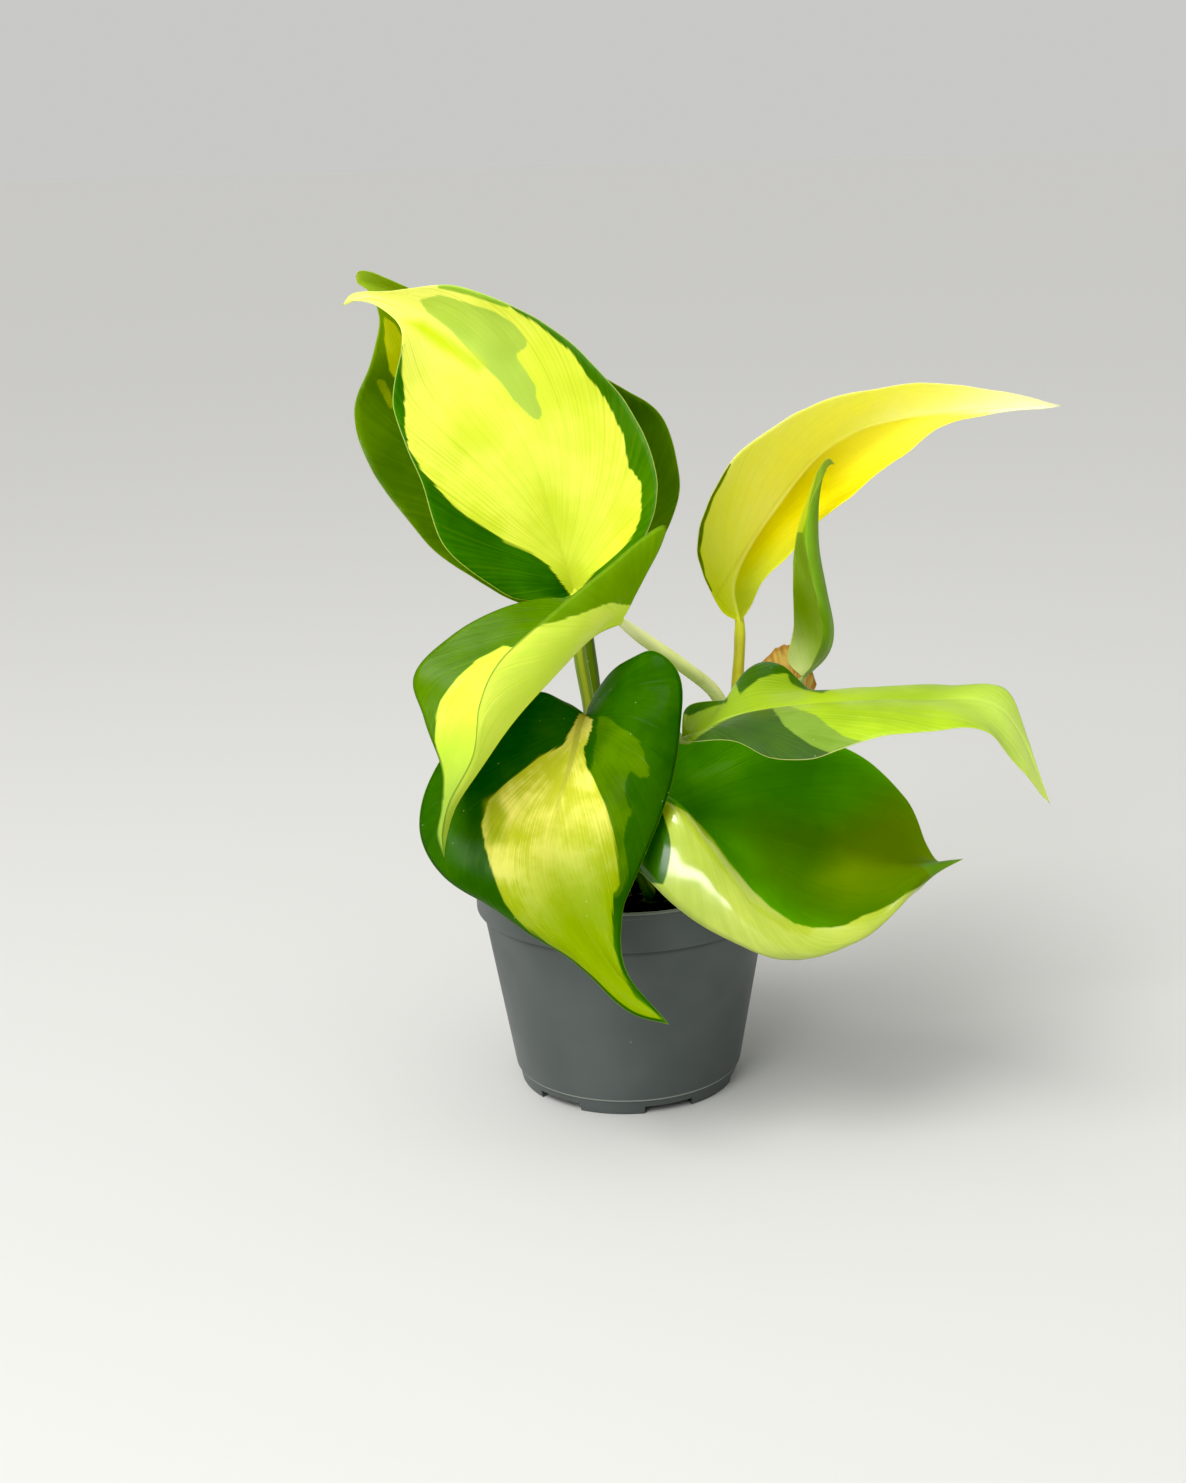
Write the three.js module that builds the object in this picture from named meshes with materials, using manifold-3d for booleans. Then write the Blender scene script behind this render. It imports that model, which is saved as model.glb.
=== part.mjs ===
// A heart-leaf philodendron with yellow-splashed leaves, growing in a plastic nursery pot of dark peat.
// Units are millimetres and +Z is up. The origin is on the pot's axis, at the level the pot stands on.
// Three short vine stems stand in the peat. Eight blades are carried on long petioles that leave those
// stems. The viewer stands on the -Y side: +X is to the right, and leaves that reach forward have low Y.

import * as THREE from 'three';
import { mergeVertices } from 'three/addons/utils/BufferGeometryUtils.js';
import Module from 'manifold-3d';

const wasm = await Module();
wasm.setup();

// Clear gap between pieces that touch, and a wider one round curved pieces made of flat faces.
const GAP = 0.3;
const WIDE_GAP = 2 * GAP;

// Points nearer than this are one point.
const SAME_POINT = 1e-4;

// Short chords that measure a curve's length, and how tightly a curve turns at its points.
const CURVE = { chords: 400, tension: 0.5 };

// Pot: a thin tapered tub with a straight rim band, a stepped foot and drain holes in its floor.
const POT = {
  height: 67,
  rimRadius: 45,
  rimLipHeight: 2,
  rimLipOverhang: 0.6,
  rimLipSlope: 0.4,
  rimRounding: 0.5,
  rimInnerSlope: 0.3,
  bandHeight: 12,
  shoulderRise: 1,
  shoulderWidening: 0.6,
  bodyTopRadius: 42.6,
  stepHeight: 5,
  stepSlope: 0.6,
  stepRadius: 34.2,
  footTopRadius: 33.5,
  footRadius: 32.6,
  wall: 1.3,
  floorHeight: 3.2,
  floorThickness: 1.3,
  footRingWidth: 2.2,
  padRadius: 8,
  sides: 44,
};
const DRAIN = { count: 8, radius: 3.6, ringRadius: 21, sides: 12, overrun: 1 };
const FOOT_NOTCH = { count: 6, width: 15, height: 1.8, reach: 8.8, firstAngle: -70 };

// Peat: fills the pot to a little under the rim, with a crumbly top.
const PEAT = {
  level: 55,
  edgeDrop: 2,
  crumbHeight: 1.3,
  waveShare: 0.35,
  moundHeight: 1.6,
  rings: 9,
  sectors: 40,
  seed: 7,
};

// The peat's three waves: turns per millimetre to the right and to the back, in radians.
const WAVES = {
  broad: { x: 0.55, y: 0.47, shift: 1.3 },
  slanted: { height: 0.7, x: -0.35, y: 0.9 },
  fine: { height: 0.5, x: 1.25, y: 0.8 },
};

// The factor and the modulus of the seeded series.
const SERIES = { factor: 16807, modulus: 2147483647 };

// Blades: each is a thin sheet between a midrib and two margins.
const BLADE = {
  thickness: 0.7,
  rows: 18,
  columns: 3,
  ribCrowding: 1.7,
  bellyCrowding: 0.8,
};

// Each blade's lines, chosen by hand: midrib, left margin and right margin from the joint to the tip.
// A half's belly is how far its middle stands off a straight run from midrib to margin. A crest is a
// line of its own that the middle of the half follows instead.
const BLADES = [
  {
    name: 'leaf_upper_front',
    color: 0xb9cf22,
    joint: [-12, -14, 152],
    tip: [-73, -14, 233],
    rib: [[-16, -17, 166], [-22, -21, 189], [-33, -21, 210], [-49, -17, 226]],
    left: {
      edge: [[-18, -18, 151], [-30, -29, 155], [-46, -35, 169], [-53, -33, 189], [-59, -31, 207],
        [-56, -27, 223], [-63, -19, 231]],
      belly: [0, 4, 0],
    },
    right: {
      edge: [[-8, -18, 149], [2, -29, 161], [10, -34, 179], [9, -34, 195], [-4, -32, 216],
        [-21, -30, 230], [-40, -26, 238], [-59, -18, 237]],
      belly: [0, 4, 0],
    },
  },
  {
    name: 'leaf_upper_back',
    color: 0x2f7a1c,
    joint: [-10, 4, 145],
    tip: [-70, -3, 240],
    rib: [[-10, 7, 165], [-18, 9, 189], [-34, 7, 214], [-54, 2, 232]],
    left: {
      edge: [[-15, 2, 142], [-31, -5, 149], [-52, -9, 165], [-68, -9, 188], [-72, -7, 203],
        [-67, -5, 217], [-64, -3, 228], [-67, -3, 236]],
      belly: [0, 4, 0],
    },
    right: {
      edge: [[0, 2, 143], [12, -4, 163], [18, -6, 181], [13, -7, 200], [-2, -8, 211],
        [-25, -7, 226], [-46, -7, 233], [-62, -5, 240]],
      belly: [0, 4, 0],
    },
  },
  {
    name: 'leaf_folded_left',
    color: 0xa9cb2a,
    joint: [0, -40, 150],
    tip: [-48, -74, 95],
    rib: [[-8, -46, 147], [-18, -56, 139], [-29, -64, 129], [-38, -70, 113]],
    left: {
      edge: [[5, -44, 159], [12, -50, 177], [-2, -58, 169], [-18, -67, 158], [-31, -74, 148],
        [-37, -77, 137], [-38, -77, 124], [-43, -76, 111]],
      belly: [0, -3, -3],
    },
    right: {
      edge: [[-5, -34, 154], [-18, -30, 154], [-30, -33, 153], [-45, -38, 147], [-56, -44, 137],
        [-53, -51, 127], [-49, -60, 116], [-47, -68, 107]],
      belly: [0, 3, 0],
    },
  },
  {
    name: 'leaf_front_hanging',
    color: 0x3f8a22,
    rows: 22,
    columns: 4,
    joint: [-10, -38, 123],
    tip: [10, -76, 47],
    rib: [[-14, -50, 112], [-18, -58, 102], [-18, -64, 85], [-6, -69, 63]],
    left: {
      edge: [[-7, -40, 130], [0, -46, 139], [8, -52, 144], [15, -56, 138], [15, -58, 124],
        [11, -60, 105], [3, -64, 87], [-2, -68, 74], [-1, -72, 61]],
      belly: [0, -4, 1],
    },
    right: {
      edge: [[-15, -40, 127], [-23, -42, 131], [-38, -46, 127], [-51, -50, 112], [-56, -54, 97],
        [-50, -58, 85], [-33, -63, 74], [-16, -68, 63], [-1, -73, 50]],
      belly: [0, -5, 0],
    },
  },
  {
    name: 'leaf_right_reaching',
    color: 0x8fc02c,
    rows: 22,
    joint: [16, -42, 116],
    tip: [111, -70, 104],
    rib: [[32, -46, 124], [53, -52, 128], [76, -59, 130], [98, -66, 129]],
    left: {
      edge: [[18, -36, 124], [32, -27, 124], [37, -21, 131], [45, -20, 131], [55, -24, 124],
        [71, -34, 127], [90, -46, 130], [101, -56, 132], [106, -64, 120]],
      belly: [0, 0, 2],
    },
    right: {
      edge: [[17, -50, 118], [29, -62, 121], [38, -71, 119], [48, -77, 120], [60, -82, 126],
        [79, -84, 129], [92, -82, 127], [102, -77, 115]],
      belly: [0, 0, 3],
    },
  },
  {
    name: 'leaf_cupped_right',
    color: 0x2f7c18,
    rows: 20,
    columns: 5,
    joint: [-2, -20, 85],
    tip: [93, -46, 81],
    rib: [[13, -30, 89], [35, -38, 88], [57, -43, 83], [77, -46, 80]],
    left: {
      edge: [[1, -14, 97], [16, -12, 107], [40, -12, 111], [65, -14, 104], [80, -21, 92],
        [85, -32, 81], [88, -40, 78]],
      belly: [0, 4, -3],
    },
    right: {
      crest: [[2, -34, 92], [12, -46, 100], [23, -57, 90], [35, -63, 77], [47, -65, 69],
        [58, -64, 69], [69, -60, 72], [80, -53, 80]],
      edge: [[0, -34, 81], [5, -45, 79], [18, -56, 70], [33, -62, 63], [46, -63, 60],
        [59, -61, 64], [72, -57, 71], [84, -51, 78]],
    },
  },
  {
    name: 'leaf_yellow_arching',
    color: 0xd9d814,
    joint: [36, 14, 136],
    tip: [130, 15, 197],
    rib: [[35, 17, 148], [46, 21, 166], [65, 23, 187], [92, 19, 195]],
    left: {
      edge: [[30, 11, 141], [24, 4, 156], [25, 0, 171], [33, -2, 186], [50, 2, 198],
        [73, 8, 204], [100, 13, 204]],
      belly: [0, 4, 0],
    },
    right: {
      edge: [[38, 9, 140], [42, 0, 151], [51, -5, 162], [64, -5, 174], [81, 2, 185],
        [99, 10, 194]],
      belly: [0, 4, 0],
    },
  },
  {
    name: 'leaf_young_rolled',
    color: 0x5f9a2e,
    joint: [53, -2, 123],
    tip: [59, -17, 186],
    rib: [[59, -7, 130], [61, -11, 138], [59, -14, 150], [56, -16, 163], [56, -17, 176]],
    left: {
      edge: [[49, 1, 127], [51, -1, 137], [51, -5, 149], [51, -6, 159], [53, -9, 170],
        [55, -14, 181]],
      belly: [1, 2, 0],
    },
    right: {
      edge: [[55, -11, 129], [57, -17, 139], [56, -21, 148], [54, -21, 157], [52, -21, 165],
        [53, -20, 176], [55, -18, 183]],
      belly: [1, -2, 0],
    },
  },
];

// Stems: a stout vine stump in the peat, and the petioles that leave it. A petiole's points run from
// the stump to its blade's joint, and end a little way along the blade's underside.
const STUMP = { sides: 12, foot: 26, rise: 7 };
const PETIOLE = { footRadius: 2.1, tipRadius: 1.4, sides: 8, steps: 13 };
const STEMS = [
  {
    name: 'stem_left',
    color: 0x86a82c,
    at: [-7, -2],
    radius: 4,
    petioles: [
      [[-7, -3, 59], [-8, -6, 88], [-9, -9, 115], [-11.5, -12, 135], [-12, -13, 148], [-14, -13.5, 156]],
      [[-6.5, -1, 59], [-5, 3.5, 88], [-6, 4, 111], [-8, 4, 131], [-9.5, 5.5, 143], [-10.5, 8, 152]],
      [[-7.5, -4, 59], [-9, -17, 84], [-9.5, -28, 107], [-10, -35, 118], [-11.5, -39.5, 120]],
    ],
  },
  {
    name: 'stem_right',
    color: 0xa3ab38,
    at: [29, 8],
    radius: 4.5,
    petioles: [
      [[28, 6, 59], [31, 4, 84], [31, -4, 107], [27, -16.5, 122], [16.5, -28, 134], [6.5, -35, 143],
        [-1, -39.5, 148.5], [-5, -42.5, 146.5]],
      [[29.5, 9.5, 59], [34, 13, 87], [35, 14, 113], [36, 15, 127], [35.8, 16, 136], [35, 18.5, 144]],
      [[31, 8, 59], [40, 10, 85], [48, 6, 108], [52, 1, 119], [55.5, -2.5, 125.5]],
    ],
  },
  {
    name: 'stem_front',
    color: 0x7fa52e,
    at: [9, -10],
    radius: 3.6,
    petioles: [
      [[9.5, -9.5, 59], [8, -5, 80], [7, -5, 99], [8.5, -15, 111.5], [13, -31, 116.5], [15.5, -40.5, 116.3],
        [21, -43.5, 117.5]],
      [[8, -11, 59], [3, -13, 69], [-2.5, -15.5, 77], [-2.2, -19.6, 84.6]],
    ],
  },
];

// Dry sheath that wrapped the young leaf: a papery shell behind its petiole, open to the front, whose
// two sides spread into flaps. Its three lines run upwards.
const SHEATH = {
  thickness: 0.7,
  rows: 9,
  columns: 8,
  left: [[45, 9, 105], [43, 9, 113], [40, 8, 120], [41, 6, 127]],
  back: [[47.5, 9.3, 105], [50, 8.4, 112], [52.5, 6.2, 119], [52, 5.5, 128]],
  right: [[51, 7, 105], [55, 6, 113], [60, 4, 120], [63, 1, 126]],
};

const COLORS = { pot: 0x5f6a6b, peat: 0x1d1712, sheath: 0xa8692a };
const FINISH = {
  leaf: { roughness: 0.42, metalness: 0 },
  stem: { roughness: 0.5, metalness: 0 },
  dry: { roughness: 0.85, metalness: 0 },
  pot: { roughness: 0.55, metalness: 0 },
  peat: { roughness: 0.97, metalness: 0 },
};

const philodendron = new THREE.Group();

// Points from hand-chosen triples.
function toPoints(triples) {
  return triples.map((triple) => new THREE.Vector3(...triple));
}

// A mesh of positions and triangles, as a geometry.
function geometryFrom(positions, triangles) {
  const geometry = new THREE.BufferGeometry();
  geometry.setAttribute('position', new THREE.Float32BufferAttribute(positions, 3));
  geometry.setIndex(triangles);
  return geometry;
}

// A closed geometry as a solid that can be joined and cut.
function solidFrom(geometry) {
  const bare = geometry.clone();
  bare.deleteAttribute('normal');
  bare.deleteAttribute('uv');
  const merged = mergeVertices(bare, SAME_POINT);
  return new wasm.Manifold(new wasm.Mesh({
    numProp: 3,
    vertProperties: new Float32Array(merged.attributes.position.array),
    triVerts: new Uint32Array(merged.index.array),
  }));
}

// The largest piece of a solid, back as a geometry.
function geometryOf(solid) {
  const pieces = solid.decompose();
  pieces.sort((a, b) => b.volume() - a.volume());
  const mesh = pieces[0].getMesh();
  return geometryFrom(Array.from(mesh.vertProperties), Array.from(mesh.triVerts));
}

// One named piece of the plant or pot.
function addPiece(name, geometry, color, finish) {
  geometry.computeVertexNormals();
  const mesh = new THREE.Mesh(geometry, new THREE.MeshStandardMaterial({ color, ...finish }));
  mesh.name = name;
  philodendron.add(mesh);
}

// A smooth open curve through points.
function smoothCurve(controls) {
  return new THREE.CatmullRomCurve3(controls, false, 'catmullrom', CURVE.tension);
}

// Points spaced along a smooth curve. Crowding above 1 packs them towards the start.
function pointsAlong(controls, count, crowding) {
  const curve = smoothCurve(controls);
  curve.arcLengthDivisions = CURVE.chords;
  const points = [];
  for (let i = 0; i < count; i += 1) {
    points.push(curve.getPointAt((i / (count - 1)) ** crowding));
  }
  return points;
}

// The point a share of the way along the parabola through three points.
function parabolaPoint(start, middle, end, share) {
  return new THREE.Vector3()
    .addScaledVector(start, (1 - share) * (1 - 2 * share))
    .addScaledVector(middle, 4 * share * (1 - share))
    .addScaledVector(end, share * (2 * share - 1));
}

// The middle of one half at a row: on its crest line, or its belly's height off the straight run.
function crestPoints(half, rib, edge, rows, joint, tip) {
  if (half.crest) {
    return pointsAlong([joint, ...toPoints(half.crest), tip], rows, 1);
  }
  const belly = new THREE.Vector3(...half.belly);
  return rib.map((start, row) => {
    const swell = Math.sin(Math.PI * (row / (rows - 1)) ** BLADE.bellyCrowding);
    return start.clone().lerp(edge[row], 0.5).addScaledVector(belly, swell);
  });
}

// One half's rows of points from the midrib to the margin. Each row is a parabola through the
// midrib, the crest and the margin.
function halfRows(blade, half, rows, columns) {
  const joint = new THREE.Vector3(...blade.joint);
  const tip = new THREE.Vector3(...blade.tip);
  const rib = pointsAlong([joint, ...toPoints(blade.rib), tip], rows, BLADE.ribCrowding);
  const edge = pointsAlong([joint, ...toPoints(half.edge), tip], rows, 1);
  const crest = crestPoints(half, rib, edge, rows, joint, tip);
  return rib.map((start, row) => {
    const points = [];
    for (let column = 0; column <= columns; column += 1) {
      points.push(parabolaPoint(start, crest[row], edge[row], column / columns));
    }
    return points;
  });
}

// The blade's middle surface: rows of points from the left margin over the midrib to the right one.
function bladeRows(blade) {
  const rows = blade.rows ?? BLADE.rows;
  const columns = blade.columns ?? BLADE.columns;
  const left = halfRows(blade, blade.left, rows, columns);
  const right = halfRows(blade, blade.right, rows, columns);
  return left.map((points, row) => [...points.slice(1).reverse(), ...right[row]]);
}

// Unit normals of a grid of points, from its central differences.
function gridNormals(grid) {
  const last = grid.length - 1;
  return grid.map((points, row) => points.map((_, column) => {
    const from = Math.min(Math.max(row, 1), last - 1);
    const before = grid[from - 1][column];
    const after = grid[from + 1][column];
    const left = grid[from][Math.max(column - 1, 0)];
    const right = grid[from][Math.min(column + 1, points.length - 1)];
    const along = after.clone().sub(before);
    const across = right.clone().sub(left);
    return across.cross(along).normalize();
  }));
}

// A closed sheet of even thickness over a grid of points. Where an end row's points are one point,
// as at a blade's joint and tip, the sheet closes to an edge. Both faces are split alike.
function sheet(grid, thickness, pointedEnds) {
  const rows = grid.length;
  const width = grid[0].length;
  const normals = gridNormals(grid);
  const positions = [];
  const index = [[], []];
  for (const face of [0, 1]) {
    const lift = face === 0 ? thickness / 2 : -thickness / 2;
    for (let row = 0; row < rows; row += 1) {
      const pointed = pointedEnds && (row === 0 || row === rows - 1);
      index[face].push([]);
      for (let column = 0; column < width; column += 1) {
        const source = pointed ? (width - 1) / 2 : column;
        if (!pointed || column === 0) {
          const point = grid[row][source].clone().addScaledVector(normals[row][source], lift);
          positions.push(point.x, point.y, point.z);
        }
        index[face][row].push(positions.length / 3 - 1);
      }
    }
  }
  const [top, under] = index;
  const triangles = [];
  const addTriangle = (a, b, c) => {
    if (a !== b && b !== c && c !== a) {
      triangles.push(a, b, c);
    }
  };
  for (let row = 0; row < rows - 1; row += 1) {
    for (let column = 0; column < width - 1; column += 1) {
      addTriangle(top[row][column], top[row][column + 1], top[row + 1][column + 1]);
      addTriangle(top[row][column], top[row + 1][column + 1], top[row + 1][column]);
      addTriangle(under[row][column], under[row + 1][column + 1], under[row][column + 1]);
      addTriangle(under[row][column], under[row + 1][column], under[row + 1][column + 1]);
    }
    const end = width - 1;
    addTriangle(top[row][0], top[row + 1][0], under[row + 1][0]);
    addTriangle(top[row][0], under[row + 1][0], under[row][0]);
    addTriangle(top[row][end], under[row + 1][end], top[row + 1][end]);
    addTriangle(top[row][end], under[row][end], under[row + 1][end]);
  }
  if (!pointedEnds) {
    const foot = rows - 1;
    for (let column = 0; column < width - 1; column += 1) {
      addTriangle(top[0][column], under[0][column + 1], top[0][column + 1]);
      addTriangle(top[0][column], under[0][column], under[0][column + 1]);
      addTriangle(top[foot][column], top[foot][column + 1], under[foot][column + 1]);
      addTriangle(top[foot][column], under[foot][column + 1], under[foot][column]);
    }
  }
  return geometryFrom(positions, triangles);
}

// A blade's grid grown outwards in its own surface, for the room left round a blade.
function grownRows(grid, margin) {
  return grid.map((points, row) => points.map((point, column) => {
    const last = points.length - 1;
    const grown = point.clone();
    const pointed = row === 0 || row === grid.length - 1;
    if (pointed) {
      const inner = grid[row === 0 ? 1 : row - 1][last / 2];
      return grown.add(point.clone().sub(inner).setLength(margin));
    }
    if (column === 0 || column === last) {
      const inner = points[column === 0 ? 1 : last - 1];
      grown.add(point.clone().sub(inner).setLength(margin));
    }
    return grown;
  }));
}

// A round stalk along a smooth curve, with flat ends, thinning from its foot to its tip.
function stalk(controls, footRadius, tipRadius, sides, steps) {
  const curve = smoothCurve(toPoints(controls));
  const frames = curve.computeFrenetFrames(steps, false);
  const positions = [];
  const triangles = [];
  for (let step = 0; step <= steps; step += 1) {
    const along = step / steps;
    const center = curve.getPointAt(along);
    const radius = footRadius + (tipRadius - footRadius) * along;
    for (let side = 0; side < sides; side += 1) {
      const angle = (2 * Math.PI * side) / sides;
      const point = center.clone()
        .addScaledVector(frames.normals[step], radius * Math.cos(angle))
        .addScaledVector(frames.binormals[step], radius * Math.sin(angle));
      positions.push(point.x, point.y, point.z);
    }
  }
  for (let step = 0; step < steps; step += 1) {
    for (let side = 0; side < sides; side += 1) {
      const next = (side + 1) % sides;
      const a = step * sides + side;
      const b = step * sides + next;
      triangles.push(a, b, b + sides, a, b + sides, a + sides);
    }
  }
  const lastRing = steps * sides;
  for (let side = 1; side < sides - 1; side += 1) {
    triangles.push(0, side + 1, side);
    triangles.push(lastRing, lastRing + side, lastRing + side + 1);
  }
  return geometryFrom(positions, triangles);
}

// An upright cylinder from one height to another.
function post(x, y, bottom, top, radius, sides) {
  const geometry = new THREE.CylinderGeometry(radius, radius, top - bottom, sides);
  geometry.rotateX(Math.PI / 2);
  geometry.translate(x, y, (top + bottom) / 2);
  return geometry;
}

// The radius of the pot's outer wall below its rim band.
function potRadius(z) {
  const bandFoot = POT.height - POT.bandHeight;
  const share = (z - POT.stepHeight) / (bandFoot - POT.stepHeight);
  return POT.stepRadius + (POT.bodyTopRadius - POT.stepRadius) * share;
}

function makePot() {
  const bandFoot = POT.height - POT.bandHeight;
  const lipFoot = POT.height - POT.rimLipHeight;
  const bandRadius = POT.rimRadius - POT.rimLipOverhang;
  const floorTop = POT.floorHeight + POT.floorThickness;
  const shoulderFoot = bandFoot - POT.shoulderRise;
  const drillFoot = POT.floorHeight - DRAIN.overrun;
  const drillTop = floorTop + DRAIN.overrun;
  const profile = [
    [0, 0],
    [POT.padRadius, 0],
    [POT.padRadius, POT.floorHeight],
    [POT.footRadius - POT.footRingWidth, POT.floorHeight],
    [POT.footRadius - POT.footRingWidth, 0],
    [POT.footRadius, 0],
    [POT.footTopRadius, POT.stepHeight - POT.stepSlope],
    [POT.stepRadius, POT.stepHeight],
    [POT.bodyTopRadius, bandFoot],
    [bandRadius, bandFoot],
    [bandRadius, lipFoot],
    [POT.rimRadius, lipFoot + POT.rimLipSlope],
    [POT.rimRadius, POT.height - POT.rimRounding],
    [POT.rimRadius - POT.rimRounding, POT.height],
    [POT.rimRadius - POT.wall - POT.rimInnerSlope, POT.height],
    [bandRadius - POT.wall, lipFoot],
    [POT.bodyTopRadius - POT.wall + POT.shoulderWidening, bandFoot + POT.shoulderRise],
    [potRadius(shoulderFoot) - POT.wall, shoulderFoot],
    [potRadius(floorTop) - POT.wall, floorTop],
    [0, floorTop],
  ].map(([radius, height]) => new THREE.Vector2(radius, height));
  const tub = new THREE.LatheGeometry(profile, POT.sides);
  tub.rotateX(Math.PI / 2);
  let solid = solidFrom(tub);
  for (let hole = 0; hole < DRAIN.count; hole += 1) {
    const angle = (2 * Math.PI * hole) / DRAIN.count;
    const x = DRAIN.ringRadius * Math.cos(angle);
    const y = DRAIN.ringRadius * Math.sin(angle);
    const drill = post(x, y, drillFoot, drillTop, DRAIN.radius, DRAIN.sides);
    solid = solid.subtract(solidFrom(drill));
  }
  for (let notch = 0; notch < FOOT_NOTCH.count; notch += 1) {
    const cut = new THREE.BoxGeometry(FOOT_NOTCH.reach, FOOT_NOTCH.width, 2 * FOOT_NOTCH.height);
    cut.translate(POT.footRadius - POT.footRingWidth / 2, 0, 0);
    const turn = THREE.MathUtils.degToRad(FOOT_NOTCH.firstAngle + (360 * notch) / FOOT_NOTCH.count);
    cut.rotateZ(turn);
    solid = solid.subtract(solidFrom(cut));
  }
  addPiece('pot', geometryOf(solid), COLORS.pot, FINISH.pot);
}

// Crumb relief of the peat: three crossing waves, a low mound, and a small seeded unevenness.
function peatTop(x, y, unevenness) {
  const { broad, slanted, fine } = WAVES;
  const waves = Math.sin(broad.x * x + broad.shift) * Math.cos(broad.y * y)
    + slanted.height * Math.sin(slanted.y * y + slanted.x * x)
    + fine.height * Math.cos(fine.x * x + fine.y * y);
  const inner = potRadius(PEAT.level) - POT.wall;
  const mound = 1 - (x * x + y * y) / (inner * inner);
  return PEAT.level + PEAT.moundHeight * mound + PEAT.crumbHeight * (PEAT.waveShare * waves + unevenness);
}

// A repeatable series of numbers between 0 and 1.
function seededSeries(seed) {
  let state = seed;
  return () => {
    state = (state * SERIES.factor) % SERIES.modulus;
    return state / SERIES.modulus;
  };
}

function makePeat(stumps) {
  const bottom = POT.floorHeight + POT.floorThickness + GAP;
  const bottomRadius = potRadius(bottom) - POT.wall - WIDE_GAP;
  const edgeLevel = PEAT.level - PEAT.edgeDrop;
  const topRadius = potRadius(edgeLevel) - POT.wall - WIDE_GAP;
  const random = seededSeries(PEAT.seed);
  const positions = [0, 0, peatTop(0, 0, 0)];
  const triangles = [];
  for (let ring = 1; ring <= PEAT.rings; ring += 1) {
    const radius = (topRadius * ring) / PEAT.rings;
    for (let sector = 0; sector < PEAT.sectors; sector += 1) {
      const angle = (2 * Math.PI * sector) / PEAT.sectors;
      const x = radius * Math.cos(angle);
      const y = radius * Math.sin(angle);
      const edge = ring === PEAT.rings;
      const z = edge ? edgeLevel : peatTop(x, y, random() - 0.5);
      positions.push(x, y, z);
    }
  }
  for (let sector = 0; sector < PEAT.sectors; sector += 1) {
    const angle = (2 * Math.PI * sector) / PEAT.sectors;
    positions.push(bottomRadius * Math.cos(angle), bottomRadius * Math.sin(angle), bottom);
  }
  const ringStart = (ring) => 1 + (ring - 1) * PEAT.sectors;
  const bottomStart = ringStart(PEAT.rings + 1);
  positions.push(0, 0, bottom);
  const bottomCenter = positions.length / 3 - 1;
  for (let sector = 0; sector < PEAT.sectors; sector += 1) {
    const next = (sector + 1) % PEAT.sectors;
    triangles.push(0, 1 + sector, 1 + next);
    for (let ring = 1; ring < PEAT.rings; ring += 1) {
      const inner = ringStart(ring);
      const outer = ringStart(ring + 1);
      triangles.push(inner + sector, outer + sector, outer + next);
      triangles.push(inner + sector, outer + next, inner + next);
    }
    const outer = ringStart(PEAT.rings);
    triangles.push(outer + sector, bottomStart + sector, bottomStart + next);
    triangles.push(outer + sector, bottomStart + next, outer + next);
    triangles.push(bottomCenter, bottomStart + next, bottomStart + sector);
  }
  let solid = solidFrom(geometryFrom(positions, triangles));
  for (const stump of stumps) {
    const hole = post(...stump.at, STUMP.foot - GAP, POT.height, stump.radius + GAP, STUMP.sides);
    solid = solid.subtract(solidFrom(hole));
  }
  addPiece('peat', geometryOf(solid), COLORS.peat, FINISH.peat);
}

function makeBlades() {
  for (const blade of BLADES) {
    const grid = bladeRows(blade);
    addPiece(blade.name, sheet(grid, BLADE.thickness, true), blade.color, FINISH.leaf);
  }
}

// The room that a petiole leaves clear for the blades.
function bladeRoom() {
  return BLADES.map((blade) => {
    const grid = grownRows(bladeRows(blade), WIDE_GAP);
    return solidFrom(sheet(grid, BLADE.thickness + WIDE_GAP, true));
  });
}

// The petioles of one stem as solids, grown by a margin.
function petioleSolids(stem, margin) {
  return stem.petioles.map((route) => solidFrom(stalk(
    route,
    PETIOLE.footRadius + margin,
    PETIOLE.tipRadius + margin,
    PETIOLE.sides,
    PETIOLE.steps,
  )));
}

function makeStems() {
  const rooms = bladeRoom();
  for (const stem of STEMS) {
    const top = PEAT.level + STUMP.rise;
    let solid = solidFrom(post(...stem.at, STUMP.foot, top, stem.radius, STUMP.sides));
    for (const petiole of petioleSolids(stem, 0)) {
      solid = solid.add(petiole);
    }
    for (const room of rooms) {
      solid = solid.subtract(room);
    }
    addPiece(stem.name, geometryOf(solid), stem.color, FINISH.stem);
  }
}

function makeSheath() {
  const left = pointsAlong(toPoints(SHEATH.left), SHEATH.rows, 1);
  const back = pointsAlong(toPoints(SHEATH.back), SHEATH.rows, 1);
  const right = pointsAlong(toPoints(SHEATH.right), SHEATH.rows, 1);
  const grid = left.map((start, row) => {
    const points = [];
    for (let column = 0; column <= SHEATH.columns; column += 1) {
      points.push(parabolaPoint(start, back[row], right[row], column / SHEATH.columns));
    }
    return points;
  });
  let solid = solidFrom(sheet(grid, SHEATH.thickness, false));
  for (const stem of STEMS) {
    for (const petiole of petioleSolids(stem, GAP)) {
      solid = solid.subtract(petiole);
    }
  }
  for (const room of bladeRoom()) {
    solid = solid.subtract(room);
  }
  addPiece('sheath', geometryOf(solid), COLORS.sheath, FINISH.dry);
}

makePot();
makePeat(STEMS);
makeStems();
makeBlades();
makeSheath();

export default philodendron;
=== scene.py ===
"""A young heart-leaf philodendron with yellow-splashed leaves, in a plastic nursery pot of peat.

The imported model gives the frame. Every node in it is replaced here by a finer piece of the same
form: eight blades worked out from three lines each, petioles and stumps, a papery sheath, peat with
crumbs, and the moulded pot. Lengths in the tables are millimetres, and meshes are in metres with +Z
up.
"""

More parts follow.
